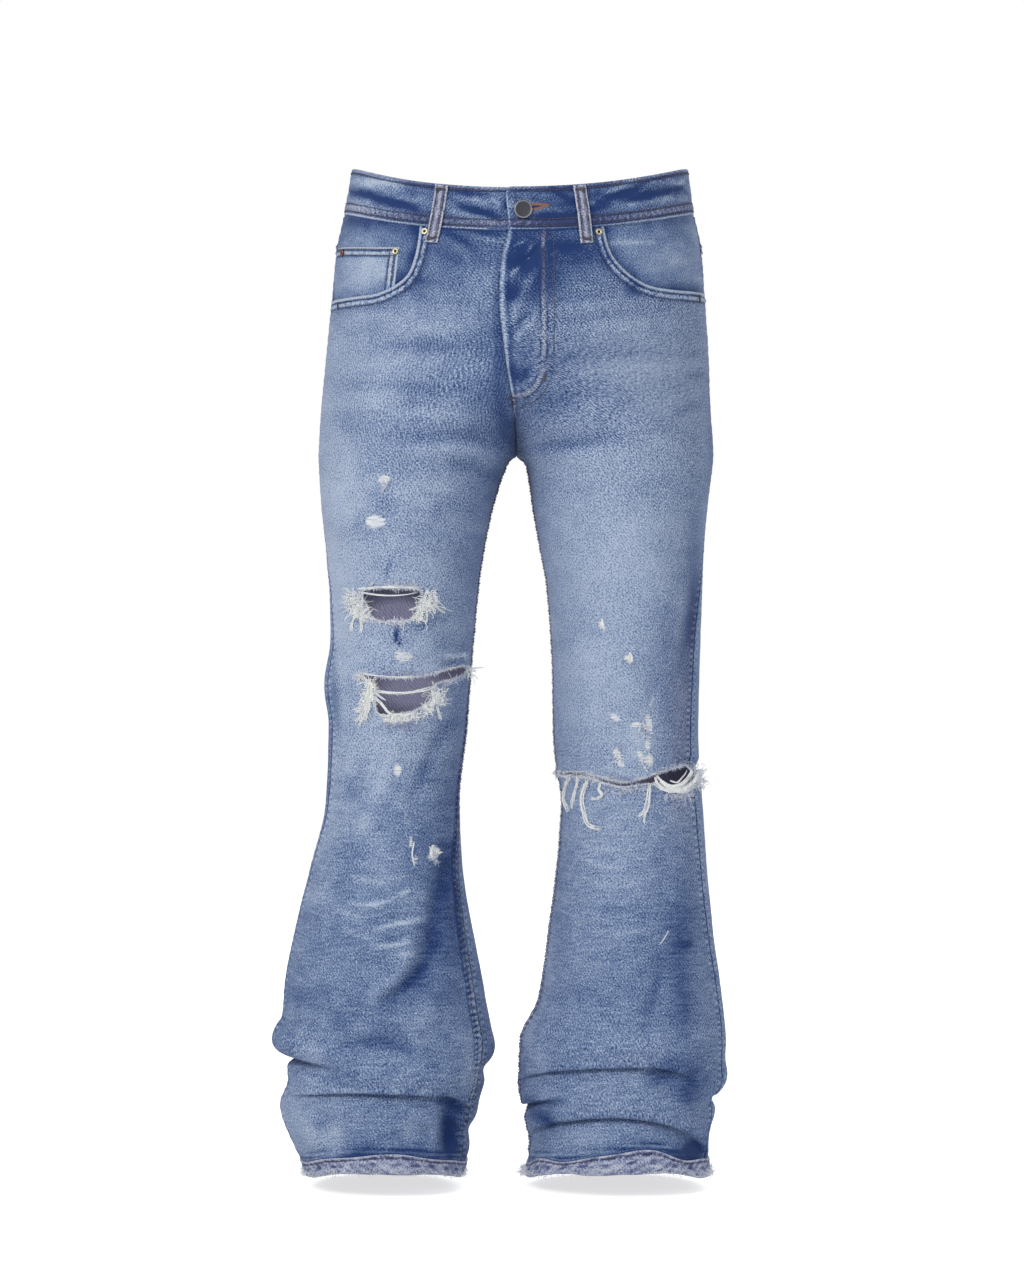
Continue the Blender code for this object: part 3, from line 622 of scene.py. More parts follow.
def fold_shift(half, drop, angle):
    """Outward and downward shift by the stack folds at angles (degrees) round the leg.

    A fold is a roll over a crease: a bell curve out above its line and one in below it. A narrow
    pair of the same makes the tuck, whose lip is pulled down over the crease."""
    out, down = np.zeros_like(drop), np.zeros_like(drop)
    for row in FOLDS_RIGHT if half == "right" else FOLDS_LEFT:
        peak, inner_end, outer_end, peak_drop, inner_drop, outer_drop, depth, reach, tuck = row
        turn = (angle - peak + 180) % 360 - 180
        inwards = turn < 0
        span = np.where(inwards, peak - inner_end, outer_end - peak)
        fall = np.where(inwards, inner_drop, outer_drop) - peak_drop
        along = np.clip(np.abs(turn) / span, 0, 1)
        line = peak_drop + fall * along**1.8
        fade = (1 - along**2) ** 1.2
        across = (drop - line) / reach
        out += depth * fade * (0.35 * bell(across, -0.55, 0.45) - 0.60 * bell(across, 0.25, 0.34))
        down += 0.30 * depth * fade * bell(across, -0.30, 0.35)
        near = drop - line
        out += tuck * fade * (0.45 * bell(near, -3.0, 3.2) - 0.75 * bell(near, 2.2, 2.6))
        down += tuck * fade * 1.15 * bell(near, -2.4, 3.0)
    return out, down


def skin(half, face, drop, angle):
    """Points of the outer surface: a superellipse, x = mid + width * cos^(2/p), y = mid +- depth *
    sin^(2/p), at z = -drop, with the dip of the waist, the rise of the hem and the stack folds."""
    mid_x, half_width, mid_y, half_depth, power, _ = section(half, face, drop)
    across, away = np.cos(angle), np.sin(angle)
    x_unit = np.sign(across) * np.abs(across) ** (2 / power)
    y_unit = np.sign(away) * np.abs(away) ** (2 / power) * (-1 if face == "front" else 1)
    frontness = -y_unit
    rise = smooth((drop - (FULL_DROP - HEM_FADE)) / HEM_FADE)
    dip = np.where(frontness > 0, FRONT_DIP, BACK_DIP) * frontness**2 * (1 - smooth(drop / DIP_FADE))
    trail = np.where(frontness > 0, -HEM_RISE, HEM_TRAIL) * frontness**2 * rise
    degrees = np.degrees(angle) if face == "front" else 360 - np.degrees(angle)
    out, down = fold_shift(half, drop, degrees)
    normal_x, normal_y = x_unit / half_width, y_unit / half_depth
    length = np.sqrt(normal_x**2 + normal_y**2)
    below = drop - CROTCH
    parted = CROTCH_SPREAD * smooth(below / 2) * np.exp(-np.maximum(below, 0) / CROTCH_SPREAD_FADE)
    parted = parted * np.sign(half_width) * np.clip(x_unit, 0, 1) ** 4
    x = mid_x + half_width * x_unit - parted + out * normal_x / length
    y = mid_y + half_depth * y_unit + out * normal_y / length
    return np.stack([x, y, -(drop + dip + trail + down)], -1)


def skin_normal(half, face, drop, angle):
    """Unit normals of the skin, out of the jeans, from small steps down and round."""
    small_drop, small_angle = 0.5, 0.004
    down = skin(half, face, drop + small_drop, angle) - skin(half, face, drop - small_drop, angle)
    round_ = skin(half, face, drop, angle + small_angle) - skin(half, face, drop, angle - small_angle)
    normal = unit(np.cross(down, round_))
    return -normal if (half == "right") == (face == "front") else normal


def raised(half, face, drop, angle, lift):
    """Points of the plain skin moved out by lift."""
    moved = skin_normal(half, face, drop, angle) * np.asarray(lift, float)[..., None]
    return skin(half, face, drop, angle) + moved


def pace(half, face, drop, angle):
    """Millimetres round the section for each radian of its angle."""
    _, half_width, _, half_depth, _, _ = section(half, face, drop)
    return np.hypot(half_width * np.sin(angle), half_depth * np.cos(angle))


def angle_of(half, face, drop, x):
    """The angle at which the skin at a drop has this x."""
    mid_x, half_width, _, _, power, _ = section(half, face, np.asarray(drop, float))
    across = np.clip((x - mid_x) / half_width, -1, 1)
    return np.arccos(np.sign(across) * np.abs(across) ** (power / 2))


def locate(half, face, x, z):
    """Drops and angles of the skin's points seen at x and z, found by repeated correction."""
    x, z = np.broadcast_arrays(np.asarray(x, float), np.asarray(z, float))
    drop = -z.copy()
    for _ in range(24):
        angle = angle_of(half, face, drop, x)
        drop = np.clip(drop + 0.9 * (skin(half, face, drop, angle)[..., 2] - z), 0, FULL_DROP)
    return drop, angle_of(half, face, drop, x)


def seam_angles(half, face, drop):
    """Angles at which a panel starts (centre seam or inseam) and ends (outseam)."""
    start = section(half, face, drop)[5]
    outseam = np.radians(through(TURN_ROWS, TURN, "outseam_" + half, drop))
    inseam = np.radians(through(TURN_ROWS, TURN, "inseam_" + half, drop))
    sign = 1 if face == "front" else -1
    return start + sign * inseam * smooth(drop, CROTCH, 40), math.pi - sign * outseam


# ---------------------------------------------------------------- relief, worn places and painted shade
def to_line(line, x, z):
    """Distance from points to a line of chords, and how far along it (0 to 1) the nearest is."""
    best = np.full(x.shape, 1e9)
    along = np.zeros(x.shape)
    chords = len(line) - 1
    for i in range(chords):
        (ax, az), (bx, bz) = line[i], line[i + 1]
        dx, dz = bx - ax, bz - az
        t = np.clip(((x - ax) * dx + (z - az) * dz) / max(dx * dx + dz * dz, 1e-9), 0, 1)
        far = np.hypot(x - ax - t * dx, z - az - t * dz)
        nearer = far < best
        best = np.where(nearer, far, best)
        along = np.where(nearer, (i + t) / chords, along)
    return best, along


def creased(rows, x, z, reach=2.6):
    """Rise (mm) and tone of a table's creases at points seen at x and z: each is a bell curve across
    its line, tapering to both ends, and is left out beyond reach times its width. The tone is painted
    shade in troughs, and partly worn, partly painted highlight on ridges."""
    rise, tone = np.zeros(x.shape), np.zeros(x.shape)
    for x0, z0, x1, z1, x2, z2, width, height, shade in rows:
        line = curve_through(((x0, z0), (x1, z1), (x2, z2)), 12)
        margin = reach * width
        near = ((x > line[:, 0].min() - margin) & (x < line[:, 0].max() + margin)
                & (z > line[:, 1].min() - margin) & (z < line[:, 1].max() + margin))
        if near.any():
            far, along = to_line(line, x[near], z[near])
            shape = bell(far / width) * np.clip(4 * along * (1 - along), 0, 1) ** 0.7
            rise[near] += height * shape
            tone[near] += shade * shape
    return rise, tone


def unevenness(x, z, seed):
    """Slight waves that no cloth is without, in mm."""
    return (0.9 * (noise(x / 34, z / 46, seed) - 0.5) + 0.45 * (noise(x / 13, z / 17, seed + 1) - 0.5)
            + 0.22 * (noise(x / 6.5, z / 5.5, seed + 2) - 0.5))


def worn(half, face, x, z, drop, share):
    """How worn the cloth is, from 0, deep indigo, to 1, nearly white, with painted shade: the table, the
    patches and the creases' tone all carry some painted shade. share goes from the inner seam (0) to the
    outer (1); the table's three columns are blended by two smooth steps."""
    rows = WEAR_BACK if face == "back" else WEAR_AND_SHADE_RIGHT if half == "right" else WEAR_AND_SHADE_LEFT
    outer, middle, inner = (through(rows, WEAR, name, drop) for name in WEAR[1:])
    wear_and_shade = np.where(share < 0.5, inner + (middle - inner) * smooth(share / 0.5),
                    middle + (outer - middle) * smooth(share, 0.5, 0.5))
    for patch_x, patch_z, across, down, tilt, amount in PATCHES.get((half, face), ()):
        wear_and_shade += amount * blot(x, z, patch_x, patch_z, across, down, tilt, 2.4)
    # the creases' tone: painted shade in troughs, paler ridges partly worn and partly painted highlight
    wear_and_shade += creased(CREASES[half, face], x, z)[1]
    mottled = 0.11 * (noise(x / 34, z / 20, 3) - 0.5) + 0.08 * (noise(x / 12, z / 8, 4) - 0.5)
    return wear_and_shade + (1.7 if half == "right" else 1.0) * mottled


# ---------------------------------------------------------------- openings in the cloth
# Edges of the pocket mouths from the waistband to the side seam, and the rips, seen from the front.
MOUTHS = {
    "right": ((-98, -58), (-98.5, -72), (-103, -97), (-113, -117), (-137, -130), (-165, -132.5), (-192, -133)),
    "left": ((80, -58), (82.5, -72), (88, -91), (97, -104), (110, -115), (126, -123), (150, -126), (190, -125)),
}
RIPS = (
    # thigh
    ("right", ((-156, -425), (-146, -420.5), (-124, -420), (-101, -421), (-96.5, -426), (-99, -436),
               (-101, -443), (-106, -449), (-122, -451.5), (-138, -451), (-146, -445), (-150, -434))),
    # right knee
    ("right", ((-154, -503), (-137, -506.5), (-118, -507.5), (-100, -506), (-83, -502.5),
               (-56, -496), (-54.5, -500), (-58, -505), (-70, -509), (-83, -512.5),
               (-86, -519), (-87, -529), (-98, -536), (-108, -540), (-123, -542),
               (-133, -543), (-140, -540), (-141, -531), (-140, -521), (-147, -511))),
    # left knee
    ("left", ((34, -601.2), (60, -600.6), (80, -605), (100, -609.6), (118, -606.4), (132, -601.5),
               (150, -596.5), (168, -593.5), (177, -597), (172, -606), (160, -613.5), (147, -614),
               (134, -610.6), (118, -611), (100, -613.4), (80, -608.8), (60, -604), (38, -603.6))),
)
# Bare places where the blue warp has gone and the white weft is left. Columns as in PATCHES.
BARES = {
    "right": (
        (-141, -355, 12.0, 8, -6, 0.90),
        (-132.5, -314, 6.5, 6, 0, 0.95),
        (-134, -323, 3, 4.5, 20, 0.7),
        (-138, -336, 2.0, 12, 0, 0.42),
        (-130, -386, 2.0, 12, 0, 0.30),
        (-114, -486, 11.5, 7, -4, 0.74),
        (-118, -481, 3.0, 7, 10, 0.55),
        (-66, -486, 13, 4, 4, 0.60),
        (-117, -547, 21, 5.5, 4, 1.0),
        (-122, -575, 2.2, 18, 2, 0.58),
        (-120, -597, 5.5, 8, 0, 0.76),
        (-120, -597, 7.5, 2.2, 10, 0.50),
        (-113, -639, 2.4, 6, 24, 0.55),
        (-108, -648, 2.0, 7, 30, 0.42),
        (-107, -668, 2.8, 9, -4, 0.72),
        (-103, -685, 3.4, 7, -12, 0.66),
        (-84, -680, 5.5, 8, -20, 0.95),
        (-89, -684, 3.0, 4, 30, 0.70),
    ),
    "left": (
        (80, -455, 3.4, 5, 10, 0.85),
        (106, -488, 6.0, 5, -20, 0.80),
        (110, -478, 4.0, 3.4, -20, 0.55),
        (93, -546, 7.0, 4.2, -30, 0.86),
        (95, -581, 4.4, 7, 18, 0.92),
        (99, -591, 4.2, 5, 18, 0.88),
        (113, -553, 8, 3.6, 10, 0.68),
        (126, -552, 5.0, 12, 10, 0.76),
        (114, -568, 6, 3.0, -10, 0.50),
        (125, -572, 4.4, 8, -8, 0.72),
        (118, -584, 4.6, 8, 20, 0.70),
        (127, -588, 4.4, 9, 4, 0.82),
        (129, -530, 2.6, 10, -18, 0.56),
        (124, -541, 2.4, 5, 14, 0.52),
        (140, -764, 2.2, 9, -32, 0.62),
    ),
}
# The fly's curved double row of stitches on the wearer's left.
FLY_ROW = ((26, -72), (26.5, -130), (26, -195), (24, -212), (16, -227), (4, -234), (-10, -237))
ROW_GAP = 6.6  # between the two rows
# Where light that falls through the rips brightens the inner face of the back: x, z, spread across
# and down, amount.
GLOWS = {"right": ((-124, -444, 30, 15, 1.5), (-108, -522, 40, 20, 1.3)),
         "left": ((92, -608, 34, 9, 1.0),)}


def outline_of(points, per_span=6):
    """The closed Catmull-Rom curve through an opening's points."""
    b = np.array(points, float)[:, None]
    t = np.linspace(0, 1, per_span, endpoint=False)[None, :, None]
    ring = catmull_rom(np.roll(b, 1, 0), b, np.roll(b, -1, 0), np.roll(b, -2, 0), t).reshape(-1, 2)
    return np.vstack([ring, ring[:1]])


def within(outline, x, z):
    """Whether points lie inside a closed outline: an odd number of its edges is crossed going +x."""
    inside = np.zeros(x.shape, bool)
    for (ax, az), (bx, bz) in zip(outline[:-1], outline[1:]):
        if az != bz:
            crosses = ((az > z) != (bz > z)) & (x < ax + (z - az) * (bx - ax) / (bz - az))
            inside ^= crosses
    return inside


RIP_LINES = [(half, outline_of(points)) for half, points in RIPS]
MOUTH_LINES = {half: curve_through(points, 60) for half, points in MOUTHS.items()}


# ---------------------------------------------------------------- seams, rips and the relief
def near_rips(half, x, z):
    """For each rip of a leg, which points are near it, and their distances from its edge."""
    for side, line in RIP_LINES:
        near = (np.abs(x - line[:, 0].mean()) < 90) & (np.abs(z - line[:, 1].mean()) < 60)
        if side == half and near.any():
            yield near, to_line(line, x[near], z[near])[0]


def arc_between(half, face, drop, a, b):
    """Length round the section between two angles: the pace at the angle midway."""
    return (a - b) * pace(half, face, drop, (a + b) / 2)


def seam_distances(half, face, drop, angle):
    """Distances in mm from the centre seam or inseam, and from the outseam."""
    start, end = seam_angles(half, face, drop)
    return arc_between(half, face, drop, angle, start), arc_between(half, face, drop, end, angle)


def fly_distance(x, z):
    """Distance in mm from the fly's outer stitch row, negative on the side of the front edge."""
    line = curve_through(FLY_ROW, 40)
    far = to_line(line, x, z)[0]
    inside = (x < np.interp(-z, -line[:, 1], line[:, 0])) & (z > line[-1, 1] - 1)
    return np.where(inside, -far, far)


def relief(half, face, drop, angle, x, z):
    """Height in mm of the cloth over the skin: creases and slight waves; along each leg seam a
    groove, a pad over the turned edges and puckers about 9 mm apart; and the rolled edges of the
    front closure, the pocket mouths and the rips."""
    rise = creased(CREASES[half, face], x, z)[0] + unevenness(x, z, 7 if half == "right" else 17)
    to_inner, to_outer = seam_distances(half, face, drop, angle)
    phase = math.tau * (drop / 9.5 + 0.9 * noise(drop / 30, x * 0, 5))
    for far, padded, here, height in ((to_outer, face == "back", True, 0.22),
                                      (to_inner, face == "front", drop > LEG_TOP, 0.45)):
        pucker = height * np.sin(phase) * smooth(far, 0.5, 2.5) * (1 - smooth(far, 5, 8))
        pad = (0.9 if padded else 0.3) * smooth(far / 1.6) * (1 - smooth(far, 7, 3))
        rise += np.where(here, pucker + pad - 1.3 * bell(far / 1.1), 0)
    centre = np.where(drop <= LEG_TOP, to_inner, 99)
    if face == "back":
        rise -= 1.2 * bell(centre / 1.2)
        if half == "left":
            rise += 0.9 * smooth(centre / 1.6) * (1 - smooth(centre, 8, 3))
        return rise
    above = 1 - smooth(drop, 240, 14)
    if half == "left":
        rise += 1.9 * (1 - smooth(centre, 4, 12)) * above - 1.1 * bell(centre / 1.2) * (1 - above)
        fly = fly_distance(x, z)
        rise += 0.7 * (bell(fly, -ROW_GAP / 2, 2.2) - bell(fly / 1.2) - bell(fly, -ROW_GAP, 1.2))
        rise += 0.5 * np.sin(math.tau * z / 8.5) * bell(fly, 2.6, 2.4)
    else:
        rise -= 1.2 * bell(centre / 1.3) * (1 - above) + bell(centre / 4) * above
    mouth = to_line(MOUTH_LINES[half], x, z)[0]
    rise += 1.2 * bell(mouth, 1.3, 1.6) - 0.6 * bell(mouth - 3.7) - 0.9 * bell(mouth, 10.2, 1.6)
    rise += (1 + 0.35 * np.sin(math.tau * (x - z) / 9)) * bell(mouth, 6.3, 2.3)
    for near, lip in near_rips(half, x, z):
        rise[near] += 1.5 * bell(lip, 0.6, 2.6) * (0.5 + noise(x[near] / 7, z[near] / 7, 31))
    return rise


def surface(half, face, drop, angle, lift=0.0):
    """The cloth's outer surface: the skin, with its relief, moved out by lift."""
    drop, angle = np.broadcast_arrays(np.asarray(drop, float), np.asarray(angle, float))
    place = skin(half, face, drop, angle)
    rise = relief(half, face, drop, angle, place[..., 0], place[..., 2])
    return place + skin_normal(half, face, drop, angle) * (rise + lift)[..., None]


def bared(half, x, z):
    """How bare the cloth is (0 to 1): a blurred ellipse for each bare place, and the rips' edges."""
    bare = np.zeros(x.shape)
    for bare_x, bare_z, across, down, tilt, amount in BARES[half]:
        bare = np.maximum(bare, amount * blot(x, z, bare_x, bare_z, across, down, tilt, 4))
    for near, far in near_rips(half, x, z):
        bare[near] = np.maximum(bare[near], 0.75 * bell(far / 3.0))
    return bare


def fly_fields(drop, to_inner, x, z):
    """What the left front has round its closure: lighter and darker places, with painted shade in the
    dents of the fly's stitch rows, lilac, rim and groove.
    """
    above = 1 - smooth(drop, 246, 14)
    fly = fly_distance(x, z)
    wear_and_shade = above * (0.12 * bell(to_inner, 0.9, 1.1) - 0.22 * bell(to_inner, 3.8, 1.8))
    # paler between the fly's stitch rows, painted shade in their dents
    wear_and_shade += 0.22 * bell(fly, -ROW_GAP / 2, 2) - 0.16 * (bell(fly / 1.2) + bell(fly, -ROW_GAP, 1.2))
    wear_and_shade += 0.16 * bell(fly, -10.5, 2.6) * smooth(drop, 150, 30)
    wear_and_shade -= 0.16 * np.clip(np.sin(math.tau * z / 8.5), -0.2, 1) * bell(fly, 2.8, 2.2)
    lilac = np.maximum(0.7 * bell(fly, -ROW_GAP / 2, 3), 0.5 * smooth(x, 128, 40) * bell(z, -545, 110))
    rim = np.clip(10 - np.maximum(to_inner, 0) - 40 * smooth(drop, 246, 10), 0, 10)
    return wear_and_shade, lilac, rim, 10 - np.minimum(np.abs(fly), np.abs(fly + ROW_GAP))


def fields_of(wear_and_shade, edge=FAR, seam=FAR, bare=0.0, **more):
    """What a piece's colour follows at each point: how worn it is, with painted shade, from 0 to 1, the
    distances in mm to the nearest rolled edge and seam, and how bare it is."""
    values = dict(more, wear_and_shade=wear_and_shade, edge=np.clip(edge, 0, FAR), seam=np.clip(seam, 0, FAR), bare=bare)
    return {key: np.array(np.broadcast_to(value, wear_and_shade.shape)) for key, value in values.items()}


def cloth_fields(half, face, drop, angle, points):
    """The fields of the panels: also the painted light on the inner face, faint everywhere and brighter
    through the rips, the lilac cast, the crispness of the weave, and rim and groove, which are 10 on a
    folded rim or a stitch row and fall by 1 a mm; the groove also marks a painted shadow line under the
    waistband."""
    x, z = points[..., 0], points[..., 2]
    to_inner, to_outer = seam_distances(half, face, drop, angle)
    wear_and_shade = worn(half, face, x, z, drop, to_inner / np.maximum(to_inner + to_outer, 1))
    seam = np.minimum(to_outer, np.where((drop > LEG_TOP) | (face == "back"), to_inner, FAR))
    seam = np.minimum(seam, np.abs(hem_top(half, angle if face == "front" else -angle) - drop))
    # glow: painted light that the inner face gives off, faint everywhere
    edge, bare, lilac, rim, glow = FAR, 0.0, 0.0, 0.0, 0.08
    # groove: a painted shadow line under the waistband's lower edge
    groove = np.clip(10 - 0.6 * np.abs(drop - 47.4), 0, 10)
    if face == "front":
        edge = to_line(MOUTH_LINES[half], x, z)[0]
        bare = bared(half, x, z)
        dashes = np.clip(np.sin(math.tau * drop / 5.6 + 2 * noise(x / 9, drop / 30, 9)), -0.3, 1)
        reach = smooth(drop, 480, 80) * (1 - smooth(drop, 880, 30)) * (1.0 if half == "right" else 0.3)
        felled = np.maximum(to_inner, 0)
        # painted shade in the groove beyond the pocket mouth's rolled edge; dark dashes beside the inseam
        wear_and_shade -= 0.16 * bell(edge, 11, 3) + reach * (0.75 * dashes + 0.05) * bell(felled, 9, 3)
        wear_and_shade += reach * (0.12 * bell(felled, 4.5, 2) - 0.30 * bell(felled, 13, 1.2))
        if half == "left":
            added, lilac, rim, rows = fly_fields(drop, to_inner, x, z)
            wear_and_shade += added
            groove = np.maximum(groove, rows)
    else:
        for glow_x, glow_z, across, down, amount in GLOWS[half]:
            glow = glow + amount * blot(x, z, glow_x, glow_z, across, down)
    crisp, fades_from, fades_in = (0.22, 560, 80) if half == "right" else (0.55, 250, 120)
    return fields_of(wear_and_shade, edge, seam, bare, glow=glow, lilac=lilac, rim=rim, groove=groove,
                     crisp=crisp * (1 - smooth(drop, fades_from, fades_in)))


def flat_map(half, face, drop, angle):
    """Place in the flat cloth in metres: along the weft, the arc from the front's or back's middle to
    the right as seen from outside; along the warp, the drop."""
    side = 1 if (half == "left") == (face == "front") else -1
    return np.stack([side * arc_between(half, face, drop, angle, math.pi / 2), -drop], -1) * MM


# ---------------------------------------------------------------- meshes
def add_piece(name, points, faces, materials, fields=None, uv=None, nodes=(), closed=False):
    """A smooth mesh from points in mm, with its point attributes and flat map, riding on the body.
    The faces of a closed shape are turned outwards: its volume, summed over them, is positive."""
    points = points.reshape(-1, 3)
    used, faces = np.unique(faces, return_inverse=True)
    faces = faces.reshape(-1, 4)
    if closed:
        a, b, c, d = (points[used][faces[:, i]] for i in range(4))
        if (a * (np.cross(b, c) + np.cross(c, d))).sum() < 0:
            faces = faces[:, ::-1]
    mesh = bpy.data.meshes.new(name)
    quads = [f[1:] if f[0] == f[1] else f[:3] if f[2] == f[3] else f for f in faces.tolist()]
    mesh.from_pydata((points[used] * MM).tolist(), [], quads)
    mesh.polygons.foreach_set("use_smooth", np.ones(len(mesh.polygons), bool))
    for key, values in (fields or {}).items():
        layer = mesh.attributes.new(key, "FLOAT", "POINT")
        layer.data.foreach_set("value", np.ascontiguousarray(values.reshape(-1)[used], np.float32))
    if uv is not None:
        corner = np.zeros(len(mesh.loops), np.int64)
        mesh.loops.foreach_get("vertex_index", corner)
        layer = mesh.uv_layers.new(name="weave")
        placed = uv.reshape(-1, 2)[used][corner]
        layer.data.foreach_set("uv", np.ascontiguousarray(placed.ravel(), np.float32))
    for material in materials:
        mesh.materials.append(material)
    mesh.validate()
    piece = bpy.data.objects.new(name, mesh)
    bpy.context.scene.collection.objects.link(piece)
    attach(piece, "root")
    if nodes:
        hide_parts(*nodes)
    return piece


def grid_faces(rows, columns, flip=False, round_rows=False, round_columns=False):
    """Quads of a grid of points, with its last row or column joined to the first where it is round."""
    i = np.arange(rows if round_rows else rows - 1)[:, None]
    j = np.arange(columns if round_columns else columns - 1)[None, :]
    i2, j2 = (i + 1) % rows, (j + 1) % columns
    quad = np.stack(np.broadcast_arrays(i * columns + j, i * columns + j2, i2 * columns + j2,
                                        i2 * columns + j), -1)
    return quad[..., ::-1] if flip else quad


def closed_tube(points, fields, uv):
    """Points, faces, attributes and flat map of a tube: the rows of a grid go round it, and a fan to
    a middle point closes each end."""
    rows, columns = points.shape[:2]
    faces = [grid_faces(rows, columns, round_rows=True).reshape(-1, 4)]
    ring = np.arange(rows) * columns
    for at, (column, first, second) in enumerate(((0, ring, np.roll(ring, -1)),
                                                  (columns - 1, np.roll(ring, -1), ring))):
        faces.append(np.stack([np.full(rows, rows * columns + at), first + column, second + column,
                               second + column], -1))

    def ends(grid):
        return np.stack([grid[:, 0].mean(0), grid[:, -1].mean(0)])

    points = np.vstack([points.reshape(-1, 3), ends(points)])
    fields = {key: np.append(value.ravel(), ends(value)) for key, value in fields.items()}
    return points, np.vstack(faces), fields, np.vstack([uv.reshape(-1, 2), ends(uv)])


def spread(count, ease=0.35):
    """Shares from 0 to 1, closer together at both ends: t - ease * sin(2 pi t) / (2 pi)."""
    t = np.linspace(0, 1, count + 1)
    return t - ease * np.sin(math.tau * t) / math.tau


def cut_opening(half, face, drop, angle, keep, line, outline):
    """Leaves out the cells of a panel whose middle lies within an outline, and moves the points left
    on its rim onto the opening's line. Changes drop, angle and keep in place."""
    place = skin(half, face, drop, angle)
    x, z = place[..., 0], place[..., 2]
    mid_x = (x[:-1, :-1] + x[1:, :-1] + x[:-1, 1:] + x[1:, 1:]) / 4
    mid_z = (z[:-1, :-1] + z[1:, :-1] + z[:-1, 1:] + z[1:, 1:]) / 4
    gone = within(outline, mid_x, mid_z)
    keep &= ~gone
    touches = np.zeros(x.shape, bool)
    stays = np.zeros(x.shape, bool)
    for a in (slice(None, -1), slice(1, None)):
        for b in (slice(None, -1), slice(1, None)):
            touches[a, b] |= gone
            stays[a, b] |= keep
    rim = np.argwhere(touches & stays)
    if not len(rim):
        return
    px, pz = x[tuple(rim.T)], z[tuple(rim.T)]
    dense = resample(line, len(line) * 6)
    nearest = np.argmin((px[:, None] - dense[None, :, 0]) ** 2 + (pz[:, None] - dense[None, :, 1]) ** 2, 1)
    new_drop, new_angle = locate(half, face, dense[nearest, 0], dense[nearest, 1])
    drop[tuple(rim.T)], angle[tuple(rim.T)] = new_drop, new_angle


def cloth_piece(node, points, faces, slot, fields, uv, thickness):
    """A sheet of cloth from its outer face inwards, with its wrong side inside, and its flat size."""
    mats = materials()
    piece = add_piece(node.replace("panel_", "") + "_denim", points, faces, (mats[slot], mats["inside"]),
                      fields, uv, (node,))
    wall = piece.modifiers.new("Thickness", "SOLIDIFY")
    wall.thickness, wall.offset, wall.material_offset = thickness, -1, 1
    wall.use_even_offset = False


# ---------------------------------------------------------------- node helpers
def srgb(red, green, blue):
    """Linear colour of a display colour given in 0 to 255."""
    parts = [c / 255 for c in (red, green, blue)]
    return [c / 12.92 if c <= 0.04045 else ((c + 0.055) / 1.055) ** 2.4 for c in parts] + [1.0]


class Wire:
    """A node's output. Sums, differences, products and quotients of it add math nodes."""

    def __init__(self, sketch, socket):
        self.sketch, self.socket = sketch, socket

    def __add__(self, other):
        return self.sketch.math("ADD", self, other)

    def __sub__(self, other):
        return self.sketch.math("SUBTRACT", self, other)

    def __mul__(self, other):
        return self.sketch.math("MULTIPLY", self, other)

    def __truediv__(self, other):
        return self.sketch.math("DIVIDE", self, other)


class Sketch:
    """Short calls that add linked nodes to a node tree."""

    def __init__(self, tree):
        self.tree = tree

    def node(self, kind, inputs=None, **settings):
        """A new node. inputs goes from socket names or numbers to numbers, colours or wires."""
        made = self.tree.nodes.new(kind)
        for key, value in settings.items():
            setattr(made, key, value)
        for key, value in (inputs or {}).items():
            self.put(made.inputs[key], value)
        return made

    def wire(self, kind, inputs=None, output=0, **settings):
        """The output of a new node."""
        return Wire(self, self.node(kind, inputs, **settings).outputs[output])

    def put(self, socket, value):
        if isinstance(value, Wire):
            self.tree.links.new(value.socket, socket)
        else:
            socket.default_value = value

    def group(self, tree, inputs):
        """The outputs, by title, of a node group."""
        made = self.node("ShaderNodeGroup", node_tree=tree)
        for title, value in inputs.items():
            self.put(made.inputs[title], value)
        return {socket.name: Wire(self, socket) for socket in made.outputs}

    def math(self, operation, *values, clamp=False):
        return self.wire("ShaderNodeMath", dict(enumerate(values)), operation=operation, use_clamp=clamp)

    def tent(self, value, peak, reach):
        """1 where the value is at the peak, falling to 0 at reach either side of it."""
        return self.math("SUBTRACT", 1.0, self.math("ABSOLUTE", value - peak) / reach, clamp=True)

    def remap(self, value, low, high, to_low, to_high, kind="SMOOTHSTEP"):
        inputs = {"Value": value, "From Min": low, "From Max": high, "To Min": to_low, "To Max": to_high}
        return self.wire("ShaderNodeMapRange", inputs, interpolation_type=kind)

    def scaled(self, vector, factors):
        return self.wire("ShaderNodeVectorMath", {0: vector, 1: factors}, operation="MULTIPLY")

    def dot(self, vector, factors):
        return self.wire("ShaderNodeVectorMath", {0: vector, 1: factors}, "Value", operation="DOT_PRODUCT")

    def noise(self, vector, scale, detail=2.0, rough=0.5):
        inputs = {"Vector": vector, "Scale": scale, "Detail": detail, "Roughness": rough}
        return self.wire("ShaderNodeTexNoise", inputs)

    def mix(self, factor, first, second):
        return self.wire("ShaderNodeMix", {0: factor, 6: first, 7: second}, 2, data_type="RGBA")

    def attribute(self, name):
        return self.wire("ShaderNodeAttribute", output="Fac", attribute_name=name)

    def flat(self):
        """Place in the flat cloth."""
        return self.wire("ShaderNodeUVMap", uv_map="weave")

    def place(self):
        return self.wire("ShaderNodeTexCoord", output="Object")


def new_group(name, inputs, outputs):
    """An empty shader node group: its sketch, its inputs' wires by title and its output sockets."""
    tree = bpy.data.node_groups.new(name, "ShaderNodeTree")
    for title, kind, default in inputs:
        socket = tree.interface.new_socket(title, in_out="INPUT", socket_type=kind)
        if default is not None:
            socket.default_value = default
    for title, kind in outputs:
        tree.interface.new_socket(title, in_out="OUTPUT", socket_type=kind)
    sketch = Sketch(tree)
    entry = sketch.node("NodeGroupInput").outputs
    given = {title: Wire(sketch, entry[title]) for title, _, _ in inputs}
    return sketch, given, sketch.node("NodeGroupOutput").inputs


